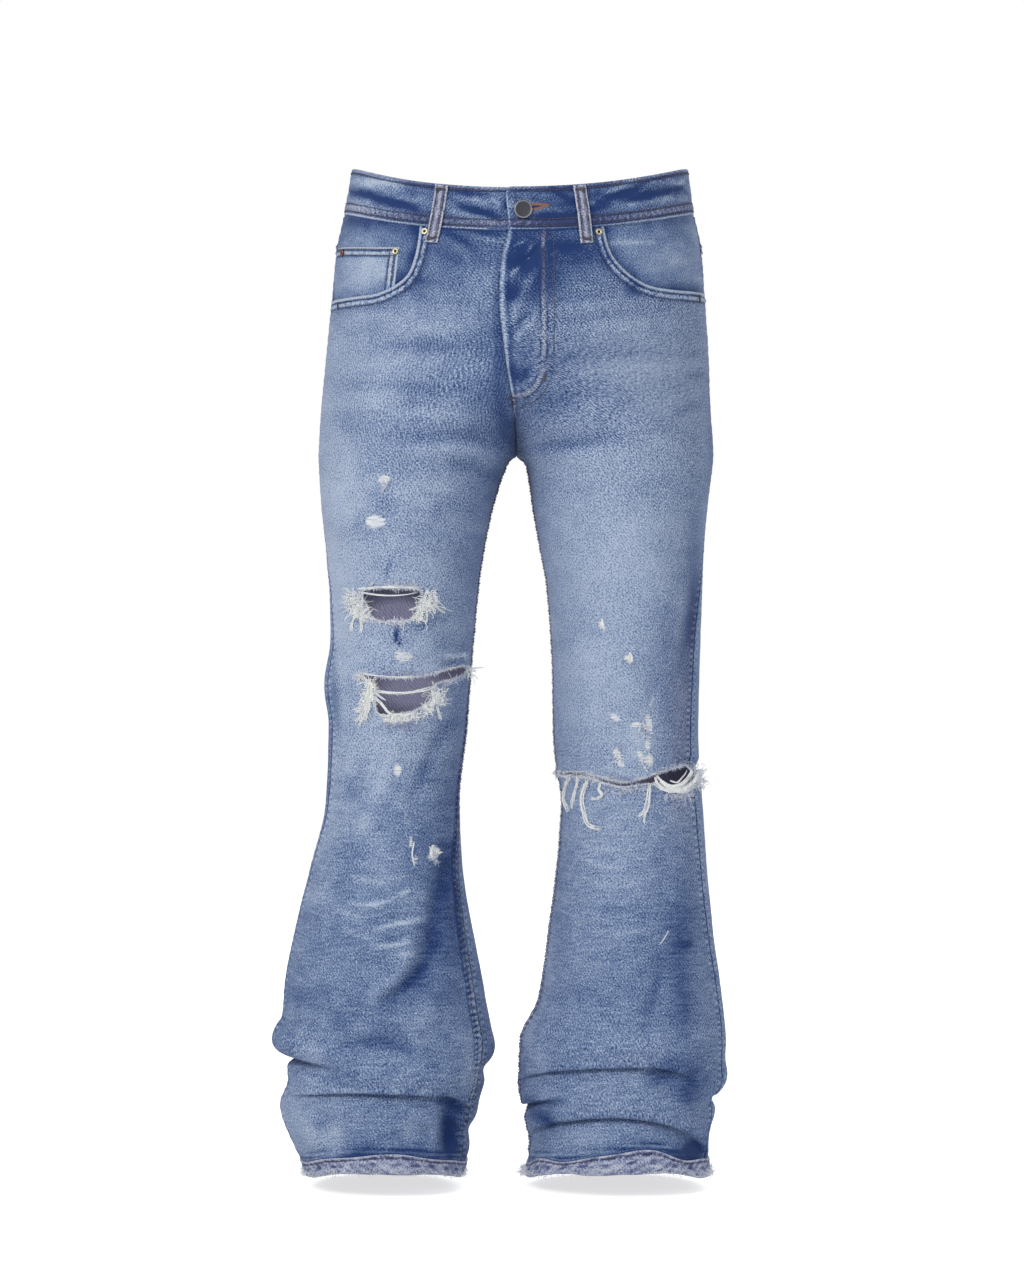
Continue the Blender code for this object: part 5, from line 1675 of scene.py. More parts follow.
def waistband_piece():
    """One folded strip round the waist: its profile is carried along it from under the closure, by
    the right side, the back and the left side, to the end that laps over at the front."""
    profile_drop, profile_lift = band_profile()
    on_face = (profile_lift > -0.5)[:, None]
    share, level = np.linspace(0, 1, 88), np.zeros(87)
    strips = (("left", "front", None, np.full(7, -LAP)),
              ("right", "front", share, -LAP * (1 - smooth(share, 0, 0.2))),
              ("right", "back", share[::-1][1:], level),
              ("left", "back", share[1:], level),
              ("left", "front", share[::-1][1:], level))
    points, fields, uvs, along_from = [], [], [], 0.0
    for index, (half, face, shares, sink) in enumerate(strips):
        drop = np.repeat(profile_drop[:, None], len(sink), 1)
        if shares is None:
            first = angle_of("left", "front", drop[:, :1], 14.0)
            angle = first + (math.pi / 2 - first) * np.linspace(0, 1, 8)[None, :-1]
        else:
            angle = np.repeat(math.pi / 2 * (1 + shares)[None, :], len(profile_drop), 0)
        place = skin(half, face, drop, angle)
        far = travelled(place[20])
        along = along_from + far
        along_from += 2 * far[-1] - far[-2]
        along_all = np.broadcast_to(along[None, :], drop.shape)
        rise, tone = band_relief(half, face, drop, place[..., 0], place[..., 2], along_all)
        lift = profile_lift[:, None] + sink[None, :] + rise * on_face
        if index in (0, 4):
            # round the strip's end off and lower its top corner
            near = along - along[0] if index == 0 else along[-1] - along
            thin = np.sqrt(np.clip(1 - (1 - np.clip(near / 1.8, 0, 1)) ** 2, 0.04, 1))[None, :]
            middle = sink[None, :] - 1.5
            lift = middle + (lift - middle) * thin
            corner = 6 - np.sqrt(np.clip(36 - np.clip(6 - near, 0, 6) ** 2, 0, 36))
            drop = drop + corner[None, :] * np.clip(1 - drop / 14, 0, 1)
        base = skin(half, face, drop, angle)
        points.append(base + skin_normal(half, face, np.maximum(drop, 1.0), angle) * lift[..., None])
        x, z = base[..., 0], base[..., 2]
        wear_and_shade = band_wear_and_shade(half, face, drop, x, along_all, tone)
        rim = np.clip(10 - np.abs(45.9 - drop), 0, 10) * on_face
        if index == 4:
            to_end = (along[-1] - along)[None, :]
            # a paler end, and painted shade in the buttonhole's slit
            wear_and_shade += 0.10 * bell(to_end, 0.8, 2.0) * on_face - 0.7 * bell(x, 18, 9) * bell(z, -47.6, 1.8)
            rim = np.maximum(rim, np.clip(10 - to_end, 0, 10) * on_face)
        to_row = np.min([np.abs(drop - at) for at in BAND_ROWS], axis=0)
        lilac = 0.02 + 0.6 * bell(drop, 38.6, 5) + 0.4 * bell(drop, 1, 4)
        fields.append(fields_of(wear_and_shade, lilac=lilac, rim=rim, groove=np.clip(10 - to_row, 0, 10) * on_face))
        uvs.append(np.stack([along_all, -drop], -1) * MM)
    fields = {key: np.concatenate([part[key] for part in fields], 1) for key in fields[0]}
    points, faces, fields, uv = closed_tube(np.concatenate(points, 1), fields, np.concatenate(uvs, 1))
    piece = add_piece("waistband_denim", points, faces, (materials()["waistband_denim"],),
                      fields, uv, ("waistband",), closed=True)


# ---------------------------------------------------------------- hems
HEM_ROW = 0.16  # where its stitch row runs, from the upper edge (0) to the lower (1)


def hem_top(half, angle):
    """Drop of the hem's upper edge: it wanders, and sits lower at the sides."""
    if half == "right":
        return 985.6 + 1.0 * np.sin(3 * angle + 0.4) + 0.9 * np.sin(7 * angle + 1.0) + 2.5 * np.cos(angle) ** 2
    return 986.2 + 3.6 * np.sin(2 * angle + 0.9) + 3.2 * np.sin(5 * angle + 2.1) + 1.2 * np.sin(9 * angle)


def hem_piece(half):
    """A rolled band round each leg: its profile, a flat loop, is carried round; it is puckered into
    slanting ropes and wavy at the lower edge."""
    angle = np.linspace(0, math.tau, 300, endpoint=False)[None, :]
    outer, inner = spread(18, 0.5)[:, None], np.linspace(1, 0, 6)[:, None]
    share = np.concatenate([outer, [[1.0], [1.0]], inner, [[0.0], [0.0]]])
    lift = np.concatenate([0 * outer + 0.8, [[0.2], [-1.2]], 0 * inner - 1.9, [[-1.2], [0.2]]])
    bulge = np.concatenate([0 * outer, [[0.7], [0.7]], 0 * inner, [[-0.5], [-0.5]]])
    top = hem_top(half, angle)
    wave = 1.6 * (noise(angle * 9 / math.pi * 2, angle * 0, 91) - 0.5) + 1.2 * np.sin(5 * angle + 0.7)
    bottom = HEM_END + wave * (0.7 if half == "right" else 1.1)
    drop = top + (bottom - top) * share + bulge
    angle = np.broadcast_to(angle, drop.shape)
    along = angle * 92.0
    outside = (lift > 0.5) * np.ones_like(drop)
    sway = 7 * noise(along / 30, drop * 0, 92)
    rope = 0.45 * np.sin(math.tau * (along + 1.5 * (drop - 990)) / 12 + sway)
    rope += 1.3 * (noise(along / 9, drop / 4, 93) - 0.5)
    puckered = rope * np.sin(math.pi * np.clip(share, 0, 1)) ** 0.5 - 0.6 * bell(share, HEM_ROW, 0.06)
    points = raised(half, "front", drop, angle, lift + outside * puckered)
    rubbed = np.sin(math.tau * along / 23 + 6 * noise(along / 40, share, 95))
    wear_and_shade = 0.52 + 0.34 * rope * outside + 0.55 * (noise(along / 7, drop / 2.2, 94) - 0.5)
    wear_and_shade -= 0.65 * bell(share, HEM_ROW, 0.07) * (0.6 + 0.6 * np.sin(math.tau * along / 5.5))
    wear_and_shade -= 0.65 * bell(share, 0.50, 0.10) * np.clip(rubbed, 0, 1)
    wear_and_shade += 0.30 * bell(share, 0.02, 0.05) + 0.16 * bell(share, 0.34, 0.10) + 0.16 * bell(share, 0.72, 0.12)
    faces = grid_faces(*drop.shape, round_rows=True, round_columns=True, flip=half == "left")
    piece = add_piece(f"hem_{half}_denim", points, faces, (materials()["hem_denim"],),
                      fields_of(wear_and_shade, bare=0.55 * smooth(share, 0.72, 0.3) * outside),
                      np.stack([along, -drop], -1) * MM, ("hem_" + half,))


# ---------------------------------------------------------------- belt loops
# name, half, face, x at the top and bottom, drop at the top and bottom
LOOPS = (
    ("belt_loop_front_right", "right", "front", -76.5, -86, 1.5, 64),
    ("belt_loop_front_left", "left", "front", 57, 65, 1.5, 64),
    ("belt_loop_side_right", "right", "back", -130, -134, 2, 60),
    ("belt_loop_side_left", "left", "back", 130, 134, 2, 60),
    ("belt_loop_back", "left", "back", 7, 7, 2, 60),
)
LOOP_WIDTH, LOOP_LENGTH = 12.6, 64.0


def loop_place(row, down, offset, lift):
    """Points and normals on a belt loop: down its length (0 to 1), offset across it in mm."""
    _, half, face, top_x, bottom_x, top_drop, bottom_drop = row
    drop = top_drop + (bottom_drop - top_drop) * down
    middle = top_x + (bottom_x - top_x) * down + 0.8 * np.sin(3.0 * down + 0.5)
    centre, small = angle_of(half, face, drop, middle), 0.01
    step = skin(half, face, drop, centre + small) - skin(half, face, drop, centre)
    angle = centre + offset * small / np.linalg.norm(step, axis=-1)
    stand = 0.5 + 2.2 * np.sin(math.pi * np.clip(down, 0, 1)) ** 0.6
    folded = bell(down / 0.10) + bell(1, down, 0.10)
    return raised(half, face, drop, angle, stand + folded + lift), skin_normal(half, face, drop, angle)


def belt_loop_piece(row):
    """A strip with rounded edges and a raised seam down its middle: a flat closed profile carried
    from the top of the waistband to below it."""
    w = LOOP_WIDTH / 2
    offset = np.array([-w + 0.2, -w + 1.0, -w + 2.6, -2.0, -0.8, 0.8, 2.0, w - 2.6, w - 1.0, w - 0.2,
                       w, w - 0.4, w / 2, -w / 2, -w + 0.4, -w])
    height = np.array([0.55, 0.85, 0.75, 0.55, 0.95, 0.95, 0.55, 0.75, 0.85, 0.55,
                       0.0, -0.75, -0.85, -0.85, -0.75, 0.0])
    down, across = np.meshgrid(spread(44, 0.6), offset)
    bumps = 0.3 * (noise(down * 9, across / 4 + 7, 101) - 0.5)
    points = loop_place(row, down, across, height[:, None] + bumps)[0]
    edge, end = w - np.abs(across), np.minimum(down, 1 - down)
    # paler edges, middle and end folds; painted shade in the stitch grooves near the edges and in the dips
    # beside the middle seam
    wear_and_shade = 0.46 + 0.50 * bell(edge, 0.5, 1.1) - 0.34 * bell(edge, 2.6, 1.0)
    wear_and_shade += 0.16 * bell(across / 1.6) - 0.2 * bell(np.abs(across), 2.0, 0.6)
    wear_and_shade += 0.2 * bell(end / 0.03) - 0.25 * bell(end, 0.09, 0.03)
    wear_and_shade += 0.55 * (noise(down * 16, across / 3, 102) - 0.5)
    uv = np.stack([across, -LOOP_LENGTH * down], -1) * MM
    points, faces, fields, uv = closed_tube(points, fields_of(wear_and_shade), uv)
    piece = add_piece(row[0] + "_denim", points, faces, (materials()["loop_denim"],), fields, uv,
                      (row[0],), closed=True)


# ---------------------------------------------------------------- turned metal
# radius, height, shade (share of the second colour: on the rivets painted shade in the hollow middle and down
# the cap's edge, on the button a lighter rim)
BUTTON_PROFILE = ((0, 3.0, 0), (3.5, 3.02, 0), (6.8, 3.08, 0), (7.6, 3.2, 0.1), (8.0, 3.4, 0.8), (8.5, 3.2, 1),
                  (8.8, 2.6, 0.7), (8.5, 1.9, 0), (6.5, 1.5, 0), (3.4, 1.3, 0), (3.0, 0.4, 0), (3.0, -0.6, 0),
                  (0, -0.6, 0))
RIVET_PROFILE = ((0, 0.75, 1), (0.7, 0.85, 1), (1.15, 0.55, 1), (1.5, 0.95, 0), (2.3, 1.3, 0), (2.9, 1.15, 0),
                 (3.35, 0.6, 0.5), (3.4, -0.3, 1), (0, -0.3, 0))
# name, half, x, z, lift, slot
RIVETS = (
    ("rivet_pocket_right", "right", -93, -71.5, 0.7, "brass_rivet"),
    ("rivet_pocket_left", "left", 76.5, -72, 0.7, "brass_rivet"),
    ("rivet_coin_outer", "right", -176, -86.5, 0.1, "copper_rivet"),
    ("rivet_coin_inner", "right", -122, -90, -0.2, "brass_rivet"),
)


def turned_piece(node, half, x, z, lift, slot, profile, sides):
    """A turned piece whose axis is the cloth's normal: the profile, from the middle of its top to the
    middle of its bottom, carried round in a circle."""
    drop, angle = locate(half, "front", np.array([x]), np.array([z]))
    axis = skin_normal(half, "front", drop, angle)[0]
    base = skin(half, "front", drop, angle)[0] + axis * lift
    across = unit(np.cross(axis, (0, 0, 1.0)))
    upward = np.cross(across, axis)
    turn = np.linspace(0, math.tau, sides, endpoint=False)[None, :, None]
    radius, height, shade = np.array(profile)[:, :, None, None].transpose(1, 0, 2, 3)
    ring = base + axis * height[1:-1] + radius[1:-1] * (np.cos(turn) * across + np.sin(turn) * upward)
    points = np.vstack([ring.reshape(-1, 3), base + axis * height[0, 0], base + axis * height[-1, 0]])
    rows = len(profile) - 2
    k, following = np.arange(sides), np.roll(np.arange(sides), -1)
    low = (rows - 1) * sides
    faces = (grid_faces(rows, sides, round_columns=True).reshape(-1, 4),
             np.stack([np.full(sides, rows * sides), following, k, k], -1),
             np.stack([np.full(sides, rows * sides + 1), low + k, low + following, low + following], -1))
    shades = np.append(np.repeat(shade[1:-1], sides), (shade[0], shade[-1]))
    add_piece(node + "_cap", points, np.vstack(faces), (materials()[slot],), {"shade": shades},
              nodes=(node,))


# ---------------------------------------------------------------- stitches
def on_cloth(half, face, x, z, lift=0.0):
    """Points and normals of the cloth seen at x and z."""
    drop, angle = locate(half, face, x, z)
    return surface(half, face, drop, angle, lift), skin_normal(half, face, drop, angle)


def beside(line, distance):
    """The line moved to its left by a distance."""
    along = unit(np.gradient(line, axis=0))
    return line + np.stack([-along[:, 1], along[:, 0]], -1) * distance


def stitch_row(points, normals, start=0.0, pitch=None):
    """Middles, directions and normals of stitches at equal steps along a line of points."""
    pitch = pitch or bpy.context.scene.jeans_sizes.stitch_pitch
    far = travelled(points)
    at = np.arange(start + pitch / 2, far[-1], pitch)

    def pick(values, where):
        return np.stack([np.interp(where, far, values[:, i]) for i in range(3)], -1)

    along = pick(points, at + 0.6) - pick(points, at - 0.6)
    return np.stack([pick(points, at), along, pick(normals, at)], 1)


def sewn(half, face, drop, angle, lift, over=surface):
    """Stitches along drops and angles, on the relief or, over=raised, on the plain skin."""
    return stitch_row(over(half, face, drop, angle, lift), skin_normal(half, face, drop, angle))


def stitches_piece(name, rows, length=2.7, width=1.0, seed=0, finish="thread"):
    """Many small stitches in one mesh: each is a short rod of four rings with four sides, its ends
    sunk into the cloth. rows hold the middles, directions and normals."""
    every = np.concatenate(rows)
    count = len(every)
    rng = np.random.default_rng(seed)
    middle, along, normal = every[:, 0], unit(every[:, 1]), every[:, 2]
    across = unit(np.cross(normal, along))
    normal = np.cross(along, across)
    ring_s = np.array([-0.5, -0.28, 0.28, 0.5])[None, :, None, None] * length
    ring_h = np.array([-0.35, 0.22, 0.22, -0.35])[None, :, None, None] * width
    ring_r = np.array([0.35, 0.5, 0.5, 0.35])[None, :, None, None] * width
    turn = (np.array([0.25, 0.75, 1.25, 1.75]) * math.pi)[None, None, :, None]
    side = np.cos(turn) * ring_r * 1.15
    high = np.sin(turn) * ring_r * 0.8 + ring_h
    jitter = rng.uniform(-0.12, 0.12, (count, 1, 1, 1))
    shape = (middle[:, None, None] + along[:, None, None] * (ring_s * (1 + jitter))
             + across[:, None, None] * side + normal[:, None, None] * high)
    rod = np.vstack([grid_faces(4, 4, round_columns=True).reshape(-1, 4), [[3, 2, 1, 0]], [[12, 13, 14, 15]]])
    faces = rod[None] + (np.arange(count) * 16)[:, None, None]
    tint = np.repeat(rng.uniform(0, 1, count) ** 1.6, 16)
    add_piece(name, shape, faces, (materials()[finish],), {"tint": tint}, closed=True)


def bartack(centre, normal, along, length):
    """A dense block of crosswise stitches: a row for stitches_piece."""
    along = unit(np.array(along, float))
    middles = centre + np.arange(-length / 2, length / 2 + 0.01, 0.75)[:, None] * along
    return np.stack(np.broadcast_arrays(middles, np.cross(normal, along), normal), 1)


def tack(half, face, x, z, lift, along, length):
    """A bar tack on the cloth at x and z."""
    points, normals = on_cloth(half, face, np.array([x]), np.array([z]), lift)
    return bartack(points[0], normals[0], along, length)


# ---------------------------------------------------------------- loose yarns
def yarn_tubes(paths, radius, tint, sides=3):
    """Tubes along many paths of equal counts: rings square to each path, tapering to their tips.
    Returns points, faces and tints."""
    n, k = paths.shape[:2]
    along = unit(np.gradient(paths, axis=1))
    side = unit(np.cross(along, np.broadcast_to(np.array((0.31, 0.83, 0.46)), along.shape)))
    up = np.cross(along, side)
    t = np.linspace(0, 1, k)
    taper = np.minimum(1, 0.35 + 3.0 * (1 - t)) * np.minimum(1, 0.6 + 4 * t)
    r = np.asarray(radius, float).reshape(-1, 1) * taper[None, :]
    turn = np.linspace(0, math.tau, sides, endpoint=False)[None, None, :, None]
    round_ = np.cos(turn) * side[:, :, None] + np.sin(turn) * up[:, :, None]
    ring = paths[:, :, None] + r[:, :, None, None] * round_
    last = (k - 1) * sides
    caps = [[2, 1, 0, 0], [last, last + 1, last + 2, last + 2]]
    faces = np.vstack([grid_faces(k, sides, round_columns=True).reshape(-1, 4), caps])
    faces = (faces[None] + (np.arange(n) * k * sides)[:, None, None]).reshape(-1, 4)
    return ring.reshape(-1, 3), faces, np.repeat(tint, k * sides)


def add_yarns(name, groups):
    """One mesh from several groups of yarns, each (paths, radius, tint)."""
    points, faces, tints, offset = [], [], [], 0
    for paths, radius, tint in groups:
        tube_points, tube_faces, tube_tints = yarn_tubes(paths, radius, tint)
        points.append(tube_points)
        faces.append(tube_faces + offset)
        tints.append(tube_tints)
        offset += len(tube_points)
    add_piece(name, np.vstack(points), np.vstack(faces), (materials()["fray"],),
              {"tint": np.concatenate(tints)}, closed=True)


def wisps(base, aim, length, droop, curl, rng, count=6):
    """Curling yarns from base points: base + aim * length * t, falling with t squared and swaying on
    two sine waves that grow with t."""
    n = len(base)
    t = np.linspace(0, 1, count)[None, :, None]
    length = length[:, None, None]
    sway = rng.normal(size=(2, n, 1, 3))
    phase = rng.uniform(0, math.tau, (2, n, 1, 1))
    turns = rng.uniform(0.5, 1.3, (2, n, 1, 1))
    curve = (sway * (np.sin(math.tau * turns * t + phase) - np.sin(phase))).sum(0)
    fall = np.array((0, 0, -1.0)) * droop * length * t**2
    return base[:, None] + unit(aim)[:, None] * length * t + fall + curve * curl * length * 0.35 * t


def edge_fringe(half, line, low, high, rng, spacing=1.1):
    """Short yarns that stand off a cut edge, into the opening and a little out of the cloth."""
    count = int(travelled(line)[-1] / spacing)
    at = resample(line, count)
    side = beside(at, 1.0) - at
    side *= np.sign(((line.mean(0) - at) * side).sum(1, keepdims=True) + 1e-9)
    shifted = at - side * rng.uniform(0.2, 1.6, (count, 1)) + rng.normal(0, 0.4, (count, 2))
    base, normal = on_cloth(half, "front", *shifted.T, rng.uniform(-0.2, 0.9, count))
    aim = np.stack([side[:, 0], 0 * side[:, 0], side[:, 1]], -1) + normal * rng.uniform(-0.2, 0.9, (count, 1))
    aim = aim + rng.normal(0, 0.45, (count, 3))
    return wisps(base, aim, rng.uniform(low, high, count), 0.25, 0.8, rng, 5)


def wool(half, x, z, across, down, tilt, count, low, high, lift, rng):
    """A woolly patch: curly yarns in all directions from points scattered over an ellipse."""
    r, turn = np.sqrt(rng.uniform(0, 1, count)), rng.uniform(0, math.tau, count)
    u, v = r * np.cos(turn) * across, r * np.sin(turn) * down
    c, s = math.cos(math.radians(tilt)), math.sin(math.radians(tilt))
    x, z = x + u * c - v * s, z + u * s + v * c
    base, normal = on_cloth(half, "front", x, z, rng.uniform(0.0, lift, count))
    aim = normal * 0.5 + rng.normal(0, 0.8, (count, 3)) + np.array((0, 0, -0.3))
    return wisps(base, aim, rng.uniform(0.7 * low, 0.72 * high, count), 0.3, 2.2, rng, 8)


def strand(half, line, lift, filaments, width, rng, count=22):
    """A bundle of yarns along a line of x, z points over or across the cloth: each turns slowly round
    the middle and strays from it towards the end."""
    path = curve_through(line, count)
    centre, normal = on_cloth(half, "front", *path.T, np.linspace(lift[0], lift[1], count))
    t = np.linspace(0, 1, count)
    side = unit(np.cross(np.gradient(centre, axis=0), normal))
    paths = []
    for i in range(filaments):
        phase = math.tau * (i / filaments + rng.uniform(-0.1, 0.1))
        turn = phase + rng.uniform(1.5, 3.5) * t
        reach = width / 2 * (0.5 + rng.uniform(0.2, 0.7)) * (1 + 0.5 * t**2)
        wander = np.cumsum(rng.normal(0, 0.05 * width, count))
        paths.append(centre + (reach * np.cos(turn) + wander * t)[:, None] * side
                     + (reach * 0.6 * np.sin(turn))[:, None] * normal)
    return np.array(paths)


def fluff(paths, per_mm, low, high, rng):
    """Short fibres standing off a bundle of yarns, all along it."""
    many = max(int(travelled(paths.mean(0))[-1] * per_mm), 4)
    pick, at = rng.integers(0, len(paths), many), rng.integers(1, paths.shape[1] - 1, many)
    aim = rng.normal(0, 1, (many, 3)) * (1, 0.7, 0.8)
    return wisps(paths[pick, at], aim, rng.uniform(low, high, many), 0.2, 0.7, rng, 5)


# ---------------------------------------------------------------- where the stitching runs
def off_seam(half, face, drop, distance):
    """Angles at a distance from a panel's inner or centre seam."""
    first = seam_angles(half, face, drop)[0]
    return first + distance / pace(half, face, drop, first)


def front_rows():
    """Stitches of the front: pocket mouths, inner seams, fly and coin pocket, with their bar tacks."""
    rows = []
    for half, sign in (("right", 1), ("left", -1)):
        for off, start in ((3.2, 0.0), (9.4, 0.8)):
            line = beside(MOUTH_LINES[half], sign * off)
            line = line[(line[:, 1] < -66) & (np.abs(line[:, 0]) < 182)]
            rows.append(stitch_row(*on_cloth(half, "front", *line.T, 0.15), start))
        drop = ladder((CROTCH + 10, PANEL_END - 2, 4.0))
        for off in (2.4, 8.6):
            rows.append(sewn(half, "front", drop, off_seam(half, "front", drop, off), 0.15))
        x, z = MOUTH_LINES[half][-6]
        rows.append(tack(half, "front", x, z - 6.5, 0.3, (0, 0, -1), 7))
    fly = curve_through(FLY_ROW, 60)
    for line, start in ((fly, 0.0), (beside(fly, ROW_GAP), 1.0)):
        rows.append(stitch_row(*on_cloth("left", "front", *line.T, 0.1), start))
    for x, z, tilt in ((-6, -238, 0.2), (-6, -232, 0.2), (24, -214, 1.2)):
        rows.append(tack("left", "front", x, z, 0.4, (math.cos(tilt), 0, math.sin(tilt)), 8))
    for off in (2.4, 8.6):
        top, side = curve_through(COIN_TOP, 30) - (0, off), curve_through(COIN_SIDE, 30) - (off, 0)
        for line in (top[(top[:, 0] < -120) & (top[:, 0] > -184)],
                     side[(side[:, 1] < -88) & (side[:, 1] > -120)]):
            drop, angle = locate("right", "front", *line.T)
            points = raised("right", "front", drop, angle, -0.6) - (0, 0.2, 0)
            rows.append(stitch_row(points, skin_normal("right", "front", drop, angle)))
    return rows


def back_rows():
    """Stitches of the back: yokes, patch pockets and the centre seam, with their bar tacks."""
    rows = []
    for half, side in (("right", -1), ("left", 1)):
        share = np.linspace(0.01, 0.985, 60)
        for off in (2.4, 8.8):
            drop = yoke_line(share) - off
            rows.append(sewn(half, "back", drop, panel_between_seams(half, "back", drop, share), 0.85))
        lines = []
        for inset in (2.4, 8.2):
            a, b = inset / POCKET_WIDTH, 1 - inset / POCKET_HEIGHT
            across = np.concatenate([np.full(30, a), np.linspace(a, 1 - a, 30)[1:], np.full(29, 1 - a)])
            down = np.concatenate([np.linspace(0.01, b, 30), np.full(29, b), np.linspace(b, 0.01, 30)[1:]])
            lines.append((across, down, 2.1))
        for inset in (3.0, 13.0):
            lines.append((np.linspace(0.02, 0.98, 30), np.full(30, inset / POCKET_HEIGHT), 2.6))
        for across, down, lift in lines:
            rows.append(stitch_row(*on_cloth(half, "back", *back_pocket_point(side, across, down), lift)))
        for across in (0.02, 0.98):
            rows.append(tack(half, "back", *back_pocket_point(side, across, 0.04), 2.3, (0, 0, -1), 9))
    drop = ladder((122, CROTCH - 4, 4.0))
    for off in (2.6, 9.0):
        rows.append(sewn("left", "back", drop, off_seam("left", "back", drop, off), 0.2))
    return rows


def waist_rows():
    """Stitches of the waistband, its end and the belt loops, with the loops' bar tacks."""
    rows = []
    for half, face in (("right", "front"), ("right", "back"), ("left", "back"), ("left", "front")):
        share = np.linspace(0 if face == "back" else 0.012, 1, 70)
        sink = -LAP * (1 - smooth(share, 0, 0.2)) if (half, face) == ("right", "front") else 0.0
        for at in BAND_ROWS:
            rows.append(sewn(half, face, np.full(70, at), math.pi / 2 * (1 + share), sink, raised))
    rows.append(sewn("left", "front", np.linspace(6, 41, 12), np.full(12, math.pi / 2 + 0.032), 0.1, raised))
    for row in LOOPS:
        for offset in (-3.9, 3.9):
            rows.append(stitch_row(*loop_place(row, np.linspace(0.05, 0.95, 24), offset, 0.95)))
        for at in (0.07, 0.93):
            points, normals = loop_place(row, np.array([at]), 0.0, 1.1)
            rows.append(bartack(points[0], normals[0], (1, 0, 0), 9.5))
    return rows


def hem_row(half):
    """The stitches round a hem, just under its upper edge."""
    angle = np.linspace(0, math.tau, 200)
    top = hem_top(half, angle)
    return sewn(half, "front", top + (HEM_END - top) * HEM_ROW, angle, 0.35, raised)


def buttonhole():
    """A keyhole of overcast stitches running from under the button towards the left side."""
    turn = np.linspace(0, math.tau, 64)
    x = 17.5 + 10.5 * np.cos(turn)
    z = -47.8 + 0.10 * (x - 17.5) + 3.6 * np.sin(turn) * (0.60 - 0.40 * np.cos(turn))
    drop, angle = locate("left", "front", x, z)
    points = raised("left", "front", drop, angle, 0.35)
    row = stitch_row(points, skin_normal("left", "front", drop, angle), pitch=0.75)
    row[:, 1] = np.cross(row[:, 2], row[:, 1])
    return row


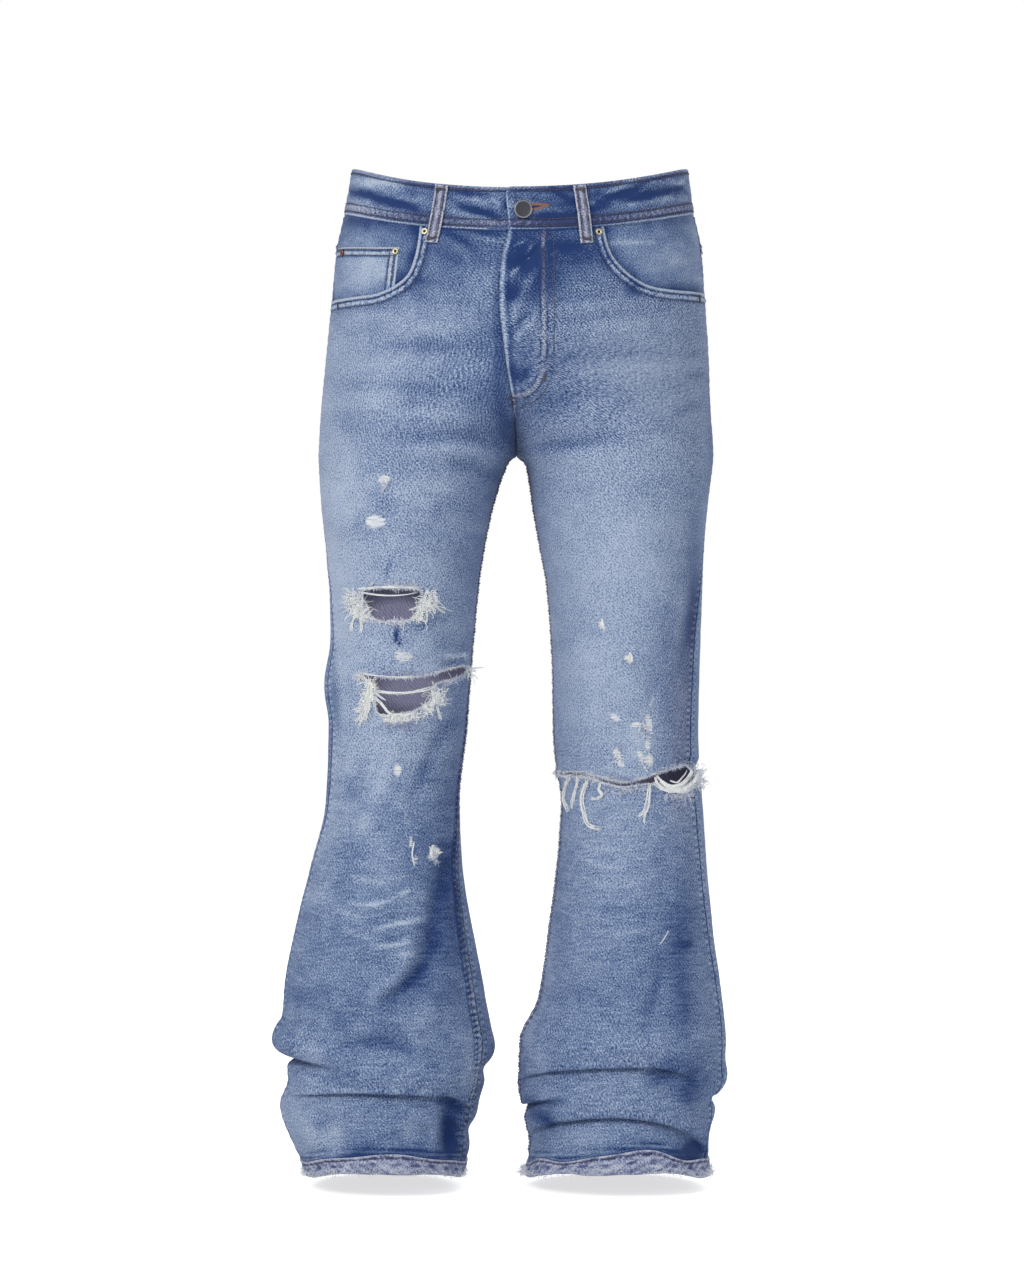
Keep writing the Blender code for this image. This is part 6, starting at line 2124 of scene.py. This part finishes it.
# ---------------------------------------------------------------- frays
# points (x, z), first and last lift, yarns, width, tint
THREADS = {
    "right": (
        # threads bridging the thigh rip and the knee rip
        (((-158, -420), (-142, -418.5), (-127, -418), (-112, -418.5), (-98, -419)), (1.2, 1.2), 4, 1.4, 0.05),
        (((-156, -423), (-142, -425.5), (-128, -426.5), (-114, -425.5), (-101, -423)), (0.6, 0.6), 3, 1.0, 0.2),
        (((-154, -503), (-137, -505), (-118, -506), (-104, -505)), (0.6, 0.4), 3, 0.9, 0.15),
        (((-140, -520), (-127, -521.5), (-112, -521.5), (-97, -519.5), (-82, -516)), (1.0, 1.0), 6, 1.9, 0.04),
        (((-141, -526), (-134, -534), (-129, -540), (-123, -544)), (1.6, 1.0), 5, 1.9, 0.05),
        (((-141, -521), (-136, -526), (-131, -529)), (1.4, 0.4), 3, 1.2, 0.10),
        # yarns hanging from the thigh rip
        (((-161, -446), (-164, -454), (-165, -462)), (2.0, 1.2), 5, 2.0, 0.05),
        (((-156, -448), (-155, -456), (-156, -463)), (2.0, 1.0), 4, 1.7, 0.08),
        (((-84, -436), (-80, -440), (-74, -443)), (2.4, 1.4), 4, 1.8, 0.1),
        (((-92, -444), (-91, -449), (-93, -454)), (2.0, 1.4), 4, 1.5, 0.2),
        # yarns hanging from the knee rip
        (((-145, -512), (-148, -526), (-150, -538), (-155, -546), (-160, -553)), (2.6, 1.2), 9, 4.4, 0.04),
        (((-83, -534), (-81, -541), (-78, -549)), (2.0, 1.0), 4, 1.8, 0.1),
        (((-88, -519), (-86, -529), (-87, -541)), (2.0, 1.2), 5, 2.4, 0.06),
        (((-94, -532), (-93, -540), (-95, -547)), (1.8, 1.0), 4, 1.8, 0.2),
        # single yarns by the nicks
        (((-132, -312), (-130, -318), (-133, -323)), (0.6, 0.6), 3, 1.0, 0.05),
        (((-86, -672), (-88, -679), (-86, -686)), (0.8, 0.8), 4, 1.6, 0.03),
        (((-104, -668), (-106, -680), (-104, -692)), (0.5, 0.5), 3, 1.0, 0.2),
    ),
    "left": (
        # yarns hanging from the left knee
        (((51, -604), (47, -613), (45, -623), (45, -631), (49, -639)), (2.2, 1.2), 7, 3.4, 0.02),
        (((59, -605), (57, -614), (54, -625), (52, -637)), (2.2, 1.2), 6, 2.8, 0.04),
        (((68, -607), (64, -617), (62, -628), (64, -640), (69, -652), (80, -657)), (2.6, 1.4), 8, 3.8, 0.02),
        (((80, -610), (78, -617), (81, -621), (77, -625), (70, -625)), (2.2, 1.2), 6, 2.4, 0.03),
        (((126, -612), (125, -622), (124, -633), (121, -639), (115, -643)), (2.4, 1.2), 7, 3.4, 0.03),
        (((122, -640), (121, -646), (122, -650)), (1.4, 0.8), 3, 1.6, 0.15),
        # the garland of loops across the open end of the left knee slit
        (((133, -603), (141, -611), (151, -614), (161, -610), (168, -600)), (0.6, 2.6), 5, 2.0, 0.02),
        (((135, -606), (145, -613), (156, -612), (165, -605), (170, -597)), (0.8, 2.6), 4, 1.6, 0.02),
        (((130, -610), (138, -616), (151, -619), (164, -615), (174, -605)), (1.8, 2.8), 6, 2.6, 0.04),
        (((147, -608), (154, -610), (160, -604), (164, -598)), (0.2, 1.4), 3, 1.2, 0.06),
        (((158, -612), (164, -605), (168, -599), (166, -594)), (1.4, 2.0), 3, 1.4, 0.05),
        (((137, -608), (146, -615), (157, -617), (167, -611), (173, -601)), (1.4, 3.0), 6, 2.6, 0.02),
        (((140, -612), (150, -617), (160, -619), (169, -614)), (2.2, 3.0), 5, 2.4, 0.03),
        (((131, -604), (134, -611), (140, -616), (146, -618)), (1.8, 2.4), 4, 1.8, 0.03),
        # single yarns by the nicks
        (((80, -449), (81, -455), (83, -461)), (0.6, 0.6), 3, 1.2, 0.03),
        (((107, -482), (109, -488), (106, -493)), (0.8, 0.8), 4, 1.8, 0.03),
        (((146, -755), (141, -763), (136, -769)), (0.5, 0.5), 2, 0.9, 0.3),
    ),
}
# x, z, half sizes across and down, tilt, yarns, shortest, longest, lift, tint
WOOLS = {
    "right": (
        (-159, -434, 8, 12, 14, 150, 3.5, 8.0, 3.0, 0.05),
        (-152, -445, 4.5, 6, 30, 60, 3.0, 6.0, 2.6, 0.08),
        (-91, -433, 7.5, 11, -12, 130, 3.5, 8.0, 3.0, 0.05),
        (-99, -446, 6, 5, 30, 50, 3.0, 6.0, 2.4, 0.10),
        (-126, -415.5, 28, 2.2, 0, 110, 1.6, 3.6, 1.8, 0.55),
        (-121, -452, 15, 2.0, 0, 60, 1.8, 4.0, 1.6, 0.30),
        (-145, -513, 3.6, 7, 24, 60, 2.8, 6.0, 3.0, 0.04),
        (-149, -526, 6.0, 8, 0, 110, 3.2, 6.5, 3.0, 0.04),
        (-152, -540, 4, 6, 24, 50, 3.0, 6.0, 2.4, 0.05),
        (-157, -505, 4, 5, 20, 36, 2.5, 5.0, 2.0, 0.20),
        (-81, -525, 6.5, 8.5, 20, 90, 3.0, 7.0, 2.6, 0.05),
        (-92, -536, 4.5, 5, 0, 50, 3.0, 6.0, 2.6, 0.10),
        (-116, -545, 20, 3.2, 3, 130, 2.0, 4.5, 2.2, 0.04),
        (-118, -553, 22, 2.6, 3, 80, 2.0, 4.4, 1.6, 0.85),
        (-52, -501, 4, 6, 0, 50, 2.5, 5.5, 2.4, 0.12),
        (-65, -485, 11, 2.4, 2, 60, 1.8, 4.0, 2.0, 0.75),
        (-110, -502.5, 34, 2.2, 0, 90, 1.5, 3.2, 1.4, 0.80),
        (-66, -509, 12, 2.4, 28, 50, 1.8, 4.0, 1.6, 0.60),
        (-114, -485, 9, 4, -4, 22, 1.2, 2.6, 0.5, 0.10),
        (-132, -313, 5.5, 3, 0, 30, 1.2, 3.0, 0.8, 0.05),
        (-129, -319, 2.5, 3, 0, 16, 1.8, 3.4, 1.0, 0.90),
        (-138, -361, 9, 2, 0, 18, 1.4, 2.8, 0.8, 0.70),
        (-86, -677, 5, 4.5, -20, 30, 1.4, 3.6, 0.9, 0.03),
        (-84, -688, 4.5, 2, -20, 18, 1.6, 3.4, 1.0, 0.70),
    ),
    "left": (
        (36, -602, 4, 3, 0, 30, 1.8, 4.0, 1.6, 0.20),
        (60, -604.5, 22, 2.0, -4, 70, 1.6, 3.4, 1.6, 0.35),
        (94, -603, 20, 2.0, -12, 60, 1.6, 3.4, 1.6, 0.80),
        (104, -616, 24, 2.4, 2, 90, 1.8, 3.8, 1.8, 0.55),
        (150, -594, 20, 2.0, 12, 70, 1.6, 3.8, 1.8, 0.70),
        (156, -622, 17, 3.4, 6, 110, 2.0, 4.6, 2.2, 0.60),
        (158, -630, 12, 2.6, 10, 50, 2.0, 4.6, 2.0, 0.90),
        (175, -606, 5, 10, 8, 120, 3.0, 6.5, 3.2, 0.42),
        (168, -616, 8, 5, 20, 70, 2.4, 5.5, 2.6, 0.55),
        (80, -456, 2.4, 3, 10, 12, 1.2, 2.8, 0.6, 0.05),
        (107, -488, 4.5, 3, 0, 26, 1.4, 3.2, 0.8, 0.05),
        (110, -495, 5, 1.6, -10, 16, 1.6, 3.2, 0.8, 0.80),
        (94, -551, 4.0, 1.6, 0, 14, 1.4, 2.8, 0.7, 0.75),
        (97, -586, 3.5, 7, 20, 26, 1.2, 3.0, 0.7, 0.10),
        (97, -576, 4.5, 1.6, 0, 14, 1.6, 3.0, 0.8, 0.80),
        (122, -558, 7, 9, 20, 40, 1.2, 3.0, 0.8, 0.20),
        (124, -588, 6, 10, 0, 44, 1.2, 3.0, 0.8, 0.20),
    ),
}


def rip_frays(name, half, top, bottom):
    """Everything loose on one leg's front between two heights: bridging and hanging threads, woolly
    patches, and the short fringe along each rip's edge."""
    rng = np.random.default_rng(11 if half == "right" else 12)
    groups = []
    for line, lift, filaments, width, tint in THREADS[half]:
        paths = strand(half, line, lift, filaments, width, rng)
        if bottom < line[0][1] <= top:
            groups.append((paths, rng.uniform(0.32, 0.46, len(paths)),
                           tint + rng.uniform(0, 0.12, len(paths))))
            if width >= 1.7:
                short = fluff(paths, 0.9 * width, 1.0, 0.75 * width, rng)
                groups.append((short, rng.uniform(0.16, 0.26, len(short)),
                               tint + rng.uniform(0, 0.15, len(short))))
    for x, z, across, down, tilt, count, low, high, lift, tint in WOOLS[half]:
        if bottom < z <= top:
            paths = wool(half, x, z, across, down, tilt, count, low, high, lift, rng)
            groups.append((paths, rng.uniform(0.22, 0.40, count),
                           np.clip(tint + rng.normal(0, 0.10, count), 0, 1)))
    for side, line in RIP_LINES:
        if side == half and bottom < line[:, 1].mean() <= top:
            for low, high, tint in ((1.2, 3.0, 0.55), (1.0, 2.4, 0.15)):
                paths = edge_fringe(half, line, low, high, rng)
                groups.append((paths, rng.uniform(0.16, 0.28, len(paths)),
                               np.clip(tint + rng.normal(0, 0.2, len(paths)), 0, 1)))
    add_yarns(name, groups)


def hem_fringe(half):
    """Short frayed ends along the lower edge of the hem, and the tatters at its inner corner."""
    rng = np.random.default_rng(21 if half == "right" else 22)
    count = 520
    angle = rng.uniform(0, math.tau, count)
    drop = FULL_DROP - rng.uniform(0.5, 5.0, count)
    base = raised(half, "front", drop, angle, rng.uniform(0.2, 1.3, count))
    aim = skin_normal(half, "front", drop, angle) * 0.35 + rng.normal(0, 0.5, (count, 3)) + (0, 0, -0.5)
    groups = [(wisps(base, aim, rng.uniform(1.4, 3.4, count), 0.2, 0.9, rng), rng.uniform(0.14, 0.26, count),
               np.clip(rng.normal(0.35, 0.2, count), 0, 1))]
    corner = (0.05, 1000, 120, 7.0) if half == "left" else (0.15, 1000, 30, 3.5)
    for at, low, many, length in (corner, (3.0, 999, 50, 5.0)):
        angle = at + rng.normal(0, 0.10, many)
        drop = low + rng.uniform(-5, 2, many)
        aim = skin_normal(half, "front", drop, angle) * 1.4 + np.array((0, 0, -0.35))
        aim = aim + rng.normal(0, 0.25, (many, 3))
        paths = wisps(raised(half, "front", drop, angle, 0.8), aim, rng.uniform(0.4, 1.0, many) * length,
                      0.15, 0.6, rng, 7)
        groups.append((paths, rng.uniform(0.18, 0.34, many), np.clip(rng.normal(0.25, 0.15, many), 0, 1)))
    add_yarns(f"hem_fringe_{half}", groups)


# ---------------------------------------------------------------- stage
CAMERA_PLACE = (-0.008, -4.0, -0.470)
PICTURE_WIDTH = 1.024  # what the camera takes in at the jeans, in metres


def area_light(name, place, size, power, colour):
    """A square light of this size and place, turned to the middle of the jeans."""
    light = bpy.data.lights.new(name, "AREA")
    light.shape, light.size, light.size_y = "RECTANGLE", size, size
    light.energy, light.color = power, colour
    lamp = bpy.data.objects.new(name, light)
    bpy.context.scene.collection.objects.link(lamp)
    lamp.location = place
    x, y, z = np.array((0, 0, -0.5)) - np.array(place)
    lamp.rotation_euler = (math.pi / 2 + math.atan2(z, math.hypot(x, y)), 0, math.atan2(y, x) - math.pi / 2)


def stage_pieces():
    """Camera, pale floor, soft lights and world."""
    camera = bpy.data.cameras.new("Camera")
    camera.sensor_fit, camera.sensor_width = "HORIZONTAL", 36.0
    camera.lens = 36.0 * -CAMERA_PLACE[1] / PICTURE_WIDTH
    camera.clip_end = 100
    view = bpy.data.objects.new("Camera", camera)
    view.location, view.rotation_euler = CAMERA_PLACE, (math.pi / 2, 0, 0)
    bpy.context.scene.collection.objects.link(view)
    bpy.context.scene.camera = view

    below = float(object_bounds()[0][2]) - 0.0015
    corners = [(x * 40.0, y * 40.0, below) for x, y in ((-1, -1), (1, -1), (1, 1), (-1, 1))]
    mesh = bpy.data.meshes.new("studio_floor")
    mesh.from_pydata(corners, [], [(0, 1, 2, 3)])
    floor = bpy.data.objects.new("studio_floor", mesh)
    bpy.context.scene.collection.objects.link(floor)
    material, s = new_material("pale studio floor")
    dust = s.noise(s.place(), 8, 2)
    glow = s.mix(s.wire("ShaderNodeLightPath", output="Is Camera Ray"), (0, 0, 0, 1), (1, 1, 1, 1))
    finish_material(s, s.mix(dust, (0.90, 0.90, 0.905, 1), (0.93, 0.93, 0.935, 1)),
                    s.remap(dust, 0, 1, 0.8, 0.95, "LINEAR"), glow=glow, power=0.66)
    mesh.materials.append(material)
    floor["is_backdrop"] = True

    world = bpy.data.worlds.new("Studio")
    bpy.context.scene.world = world
    world.use_nodes = True
    world.node_tree.nodes.clear()
    s = Sketch(world.node_tree)
    ambient = s.wire("ShaderNodeBackground", {0: (0.96, 0.98, 1.0, 1), 1: 0.41})
    backdrop = s.wire("ShaderNodeBackground", {0: (1, 1, 1, 1), 1: 1.0})
    seen = s.wire("ShaderNodeLightPath", output="Is Camera Ray")
    both = s.wire("ShaderNodeMixShader", {0: seen, 1: ambient, 2: backdrop})
    s.node("ShaderNodeOutputWorld", {"Surface": both})
    area_light("Key", (-2.4, -3.2, 1.9), 1.8, 104, (1.0, 0.99, 0.97))
    area_light("Fill", (2.9, -2.6, 0.6), 2.4, 25, (0.96, 0.98, 1.0))
    area_light("Back", (1.6, 3.4, 1.6), 2.4, 68, (1.0, 1.0, 1.0))
    bpy.context.scene.view_settings.view_transform = "Standard"


# ---------------------------------------------------------------- the add-on
class JeansSizes(bpy.types.PropertyGroup):
    denim: bpy.props.FloatProperty(name="Denim", description="Thickness of the denim", default=0.0012,
                                   min=0.0006, max=0.0018, unit="LENGTH")
    stitch_pitch: bpy.props.FloatProperty(name="Stitch pitch", description="Distance between stitches, in mm",
                                          default=3.3, min=2.0, max=5.0)


def colour_property(name, about, value):
    """A colour in the panel."""
    return bpy.props.FloatVectorProperty(name=name, description=about, size=4, subtype="COLOR", min=0, max=1,
                                         default=value)


class JeansColours(bpy.types.PropertyGroup):
    deep: colour_property("Deep denim", "Least worn denim", srgb(26, 54, 108))
    mid: colour_property("Mid denim", "Half-worn denim", srgb(111, 133, 171))
    pale: colour_property("Pale denim", "Most worn denim", srgb(184, 196, 216))
    weft: colour_property("Weft", "White weft in bare places", srgb(232, 232, 234))
    inside: colour_property("Wrong side", "Inner face of the denim", srgb(178, 177, 200))
    inside_dark: colour_property("Wrong side, dark", "Warp showing on the inner face", srgb(118, 118, 152))
    thread: colour_property("Topstitch thread", "Dark stitches", srgb(46, 47, 68))
    faded_thread: colour_property("Faded thread", "Faded stitches", srgb(98, 86, 88))
    fray: colour_property("Fray", "White loose yarns", srgb(240, 241, 238))
    blue_fray: colour_property("Blue fray", "Blue loose yarns", srgb(120, 138, 184))


class PieceOperator:
    """What the operators share: each one's build makes its pieces."""

    bl_options = {"REGISTER", "UNDO"}

    def execute(self, context):
        self.build()
        return {"FINISHED"}


class JEANS_OT_front_panels(PieceOperator, bpy.types.Operator):
    """Build the two fronts with their pocket corners and rips"""

    bl_idname, bl_label = "jeans.front_panels", "Front panels"

    def build(self):
        drops = ladder((CLOTH_TOP, 47, 1.5), (47, 840, 3.0), (840, PANEL_END, 1.25),
                       (PANEL_END, CLOTH_END, 1.8))
        for half in ("right", "left"):
            panel_piece(half, "front", drops, 88)


class JEANS_OT_back_panels(PieceOperator, bpy.types.Operator):
    """Build the two backs and their yokes"""

    bl_idname, bl_label = "jeans.back_panels", "Back panels and yokes"

    def build(self):
        drops = ladder((CLOTH_TOP, 47, 1.5), (47, 840, 3.7), (840, PANEL_END, 1.6),
                       (PANEL_END, CLOTH_END, 2.2))
        for half in ("right", "left"):
            panel_piece(half, "back", drops, 72)
            yoke_piece(half)


class JEANS_OT_pockets(PieceOperator, bpy.types.Operator):
    """Build the pocket facings, the coin pocket and the back pockets"""

    bl_idname, bl_label = "jeans.pockets", "Pockets"

    def build(self):
        for half in ("right", "left"):
            facing_piece(half)
            back_pocket_piece(half)
        coin_piece()


class JEANS_OT_waistband(PieceOperator, bpy.types.Operator):
    """Build the waistband and the strip behind the fly"""

    bl_idname, bl_label = "jeans.waistband", "Waistband and fly"

    def build(self):
        waistband_piece()
        shield_piece()


class JEANS_OT_hems(PieceOperator, bpy.types.Operator):
    """Build the rolled hems and their fringe"""

    bl_idname, bl_label = "jeans.hems", "Hems"

    def build(self):
        for half in ("right", "left"):
            hem_piece(half)
            hem_fringe(half)
            stitches_piece(f"hem_stitches_{half}", [hem_row(half)], seed=31)


class JEANS_OT_belt_loops(PieceOperator, bpy.types.Operator):
    """Build the five belt loops"""

    bl_idname, bl_label = "jeans.belt_loops", "Belt loops"

    def build(self):
        for row in LOOPS:
            belt_loop_piece(row)


class JEANS_OT_metal(PieceOperator, bpy.types.Operator):
    """Build the shank button and the four rivets"""

    bl_idname, bl_label = "jeans.metal", "Button and rivets"

    def build(self):
        turned_piece("waist_button", "left", 3.0, -51.0, 0.4, "button_metal", BUTTON_PROFILE, 56)
        for row in RIVETS:
            turned_piece(*row, RIVET_PROFILE, 28)


class JEANS_OT_stitching(PieceOperator, bpy.types.Operator):
    """Sew the stitch rows, bar tacks and buttonhole"""

    bl_idname, bl_label = "jeans.stitching", "Stitching"

    def build(self):
        stitches_piece("front_stitches", front_rows(), seed=1)
        stitches_piece("back_stitches", back_rows(), seed=2)
        stitches_piece("waist_stitches", waist_rows(), seed=3)
        stitches_piece("buttonhole_stitches", [buttonhole()], length=3.2, width=0.8, seed=4, finish="hole")


class JEANS_OT_frays(PieceOperator, bpy.types.Operator):
    """Add the loose yarns of the rips and worn nicks"""

    bl_idname, bl_label = "jeans.frays", "Frays"

    def build(self):
        rip_frays("thigh_rip_frays", "right", 0, -475)
        rip_frays("right_knee_frays", "right", -475, -900)
        rip_frays("left_knee_frays", "left", 0, -900)


class JEANS_OT_stage(PieceOperator, bpy.types.Operator):
    """Set up the camera, floor and studio light"""

    bl_idname, bl_label = "jeans.stage", "Stage"

    def build(self):
        stage_pieces()


class JEANS_PT_panel(bpy.types.Panel):
    """Sizes, colours and pieces of the jeans"""

    bl_label, bl_idname = "Ripped Jeans", "JEANS_PT_panel"
    bl_space_type, bl_region_type, bl_category = "VIEW_3D", "UI", "Jeans"

    def draw(self, context):
        for group in (context.scene.jeans_sizes, context.scene.jeans_colours):
            for name in group.bl_rna.properties.keys():
                if name not in ("rna_type", "name"):
                    self.layout.prop(group, name)
        for piece in PIECES:
            self.layout.operator(piece.bl_idname)


PIECES = (JEANS_OT_front_panels, JEANS_OT_back_panels, JEANS_OT_pockets, JEANS_OT_waistband, JEANS_OT_hems,
          JEANS_OT_belt_loops, JEANS_OT_metal, JEANS_OT_stitching, JEANS_OT_frays, JEANS_OT_stage)
CLASSES = (JeansSizes, JeansColours, *PIECES, JEANS_PT_panel)


def register():
    for cls in CLASSES:
        bpy.utils.register_class(cls)
    bpy.types.Scene.jeans_sizes = bpy.props.PointerProperty(type=JeansSizes)
    bpy.types.Scene.jeans_colours = bpy.props.PointerProperty(type=JeansColours)


def unregister():
    del bpy.types.Scene.jeans_colours
    del bpy.types.Scene.jeans_sizes
    for cls in reversed(CLASSES):
        bpy.utils.unregister_class(cls)


def main():
    register()
    for piece in PIECES:
        group, name = piece.bl_idname.split(".")
        getattr(getattr(bpy.ops, group), name)()


if __name__ == "__main__":
    main()
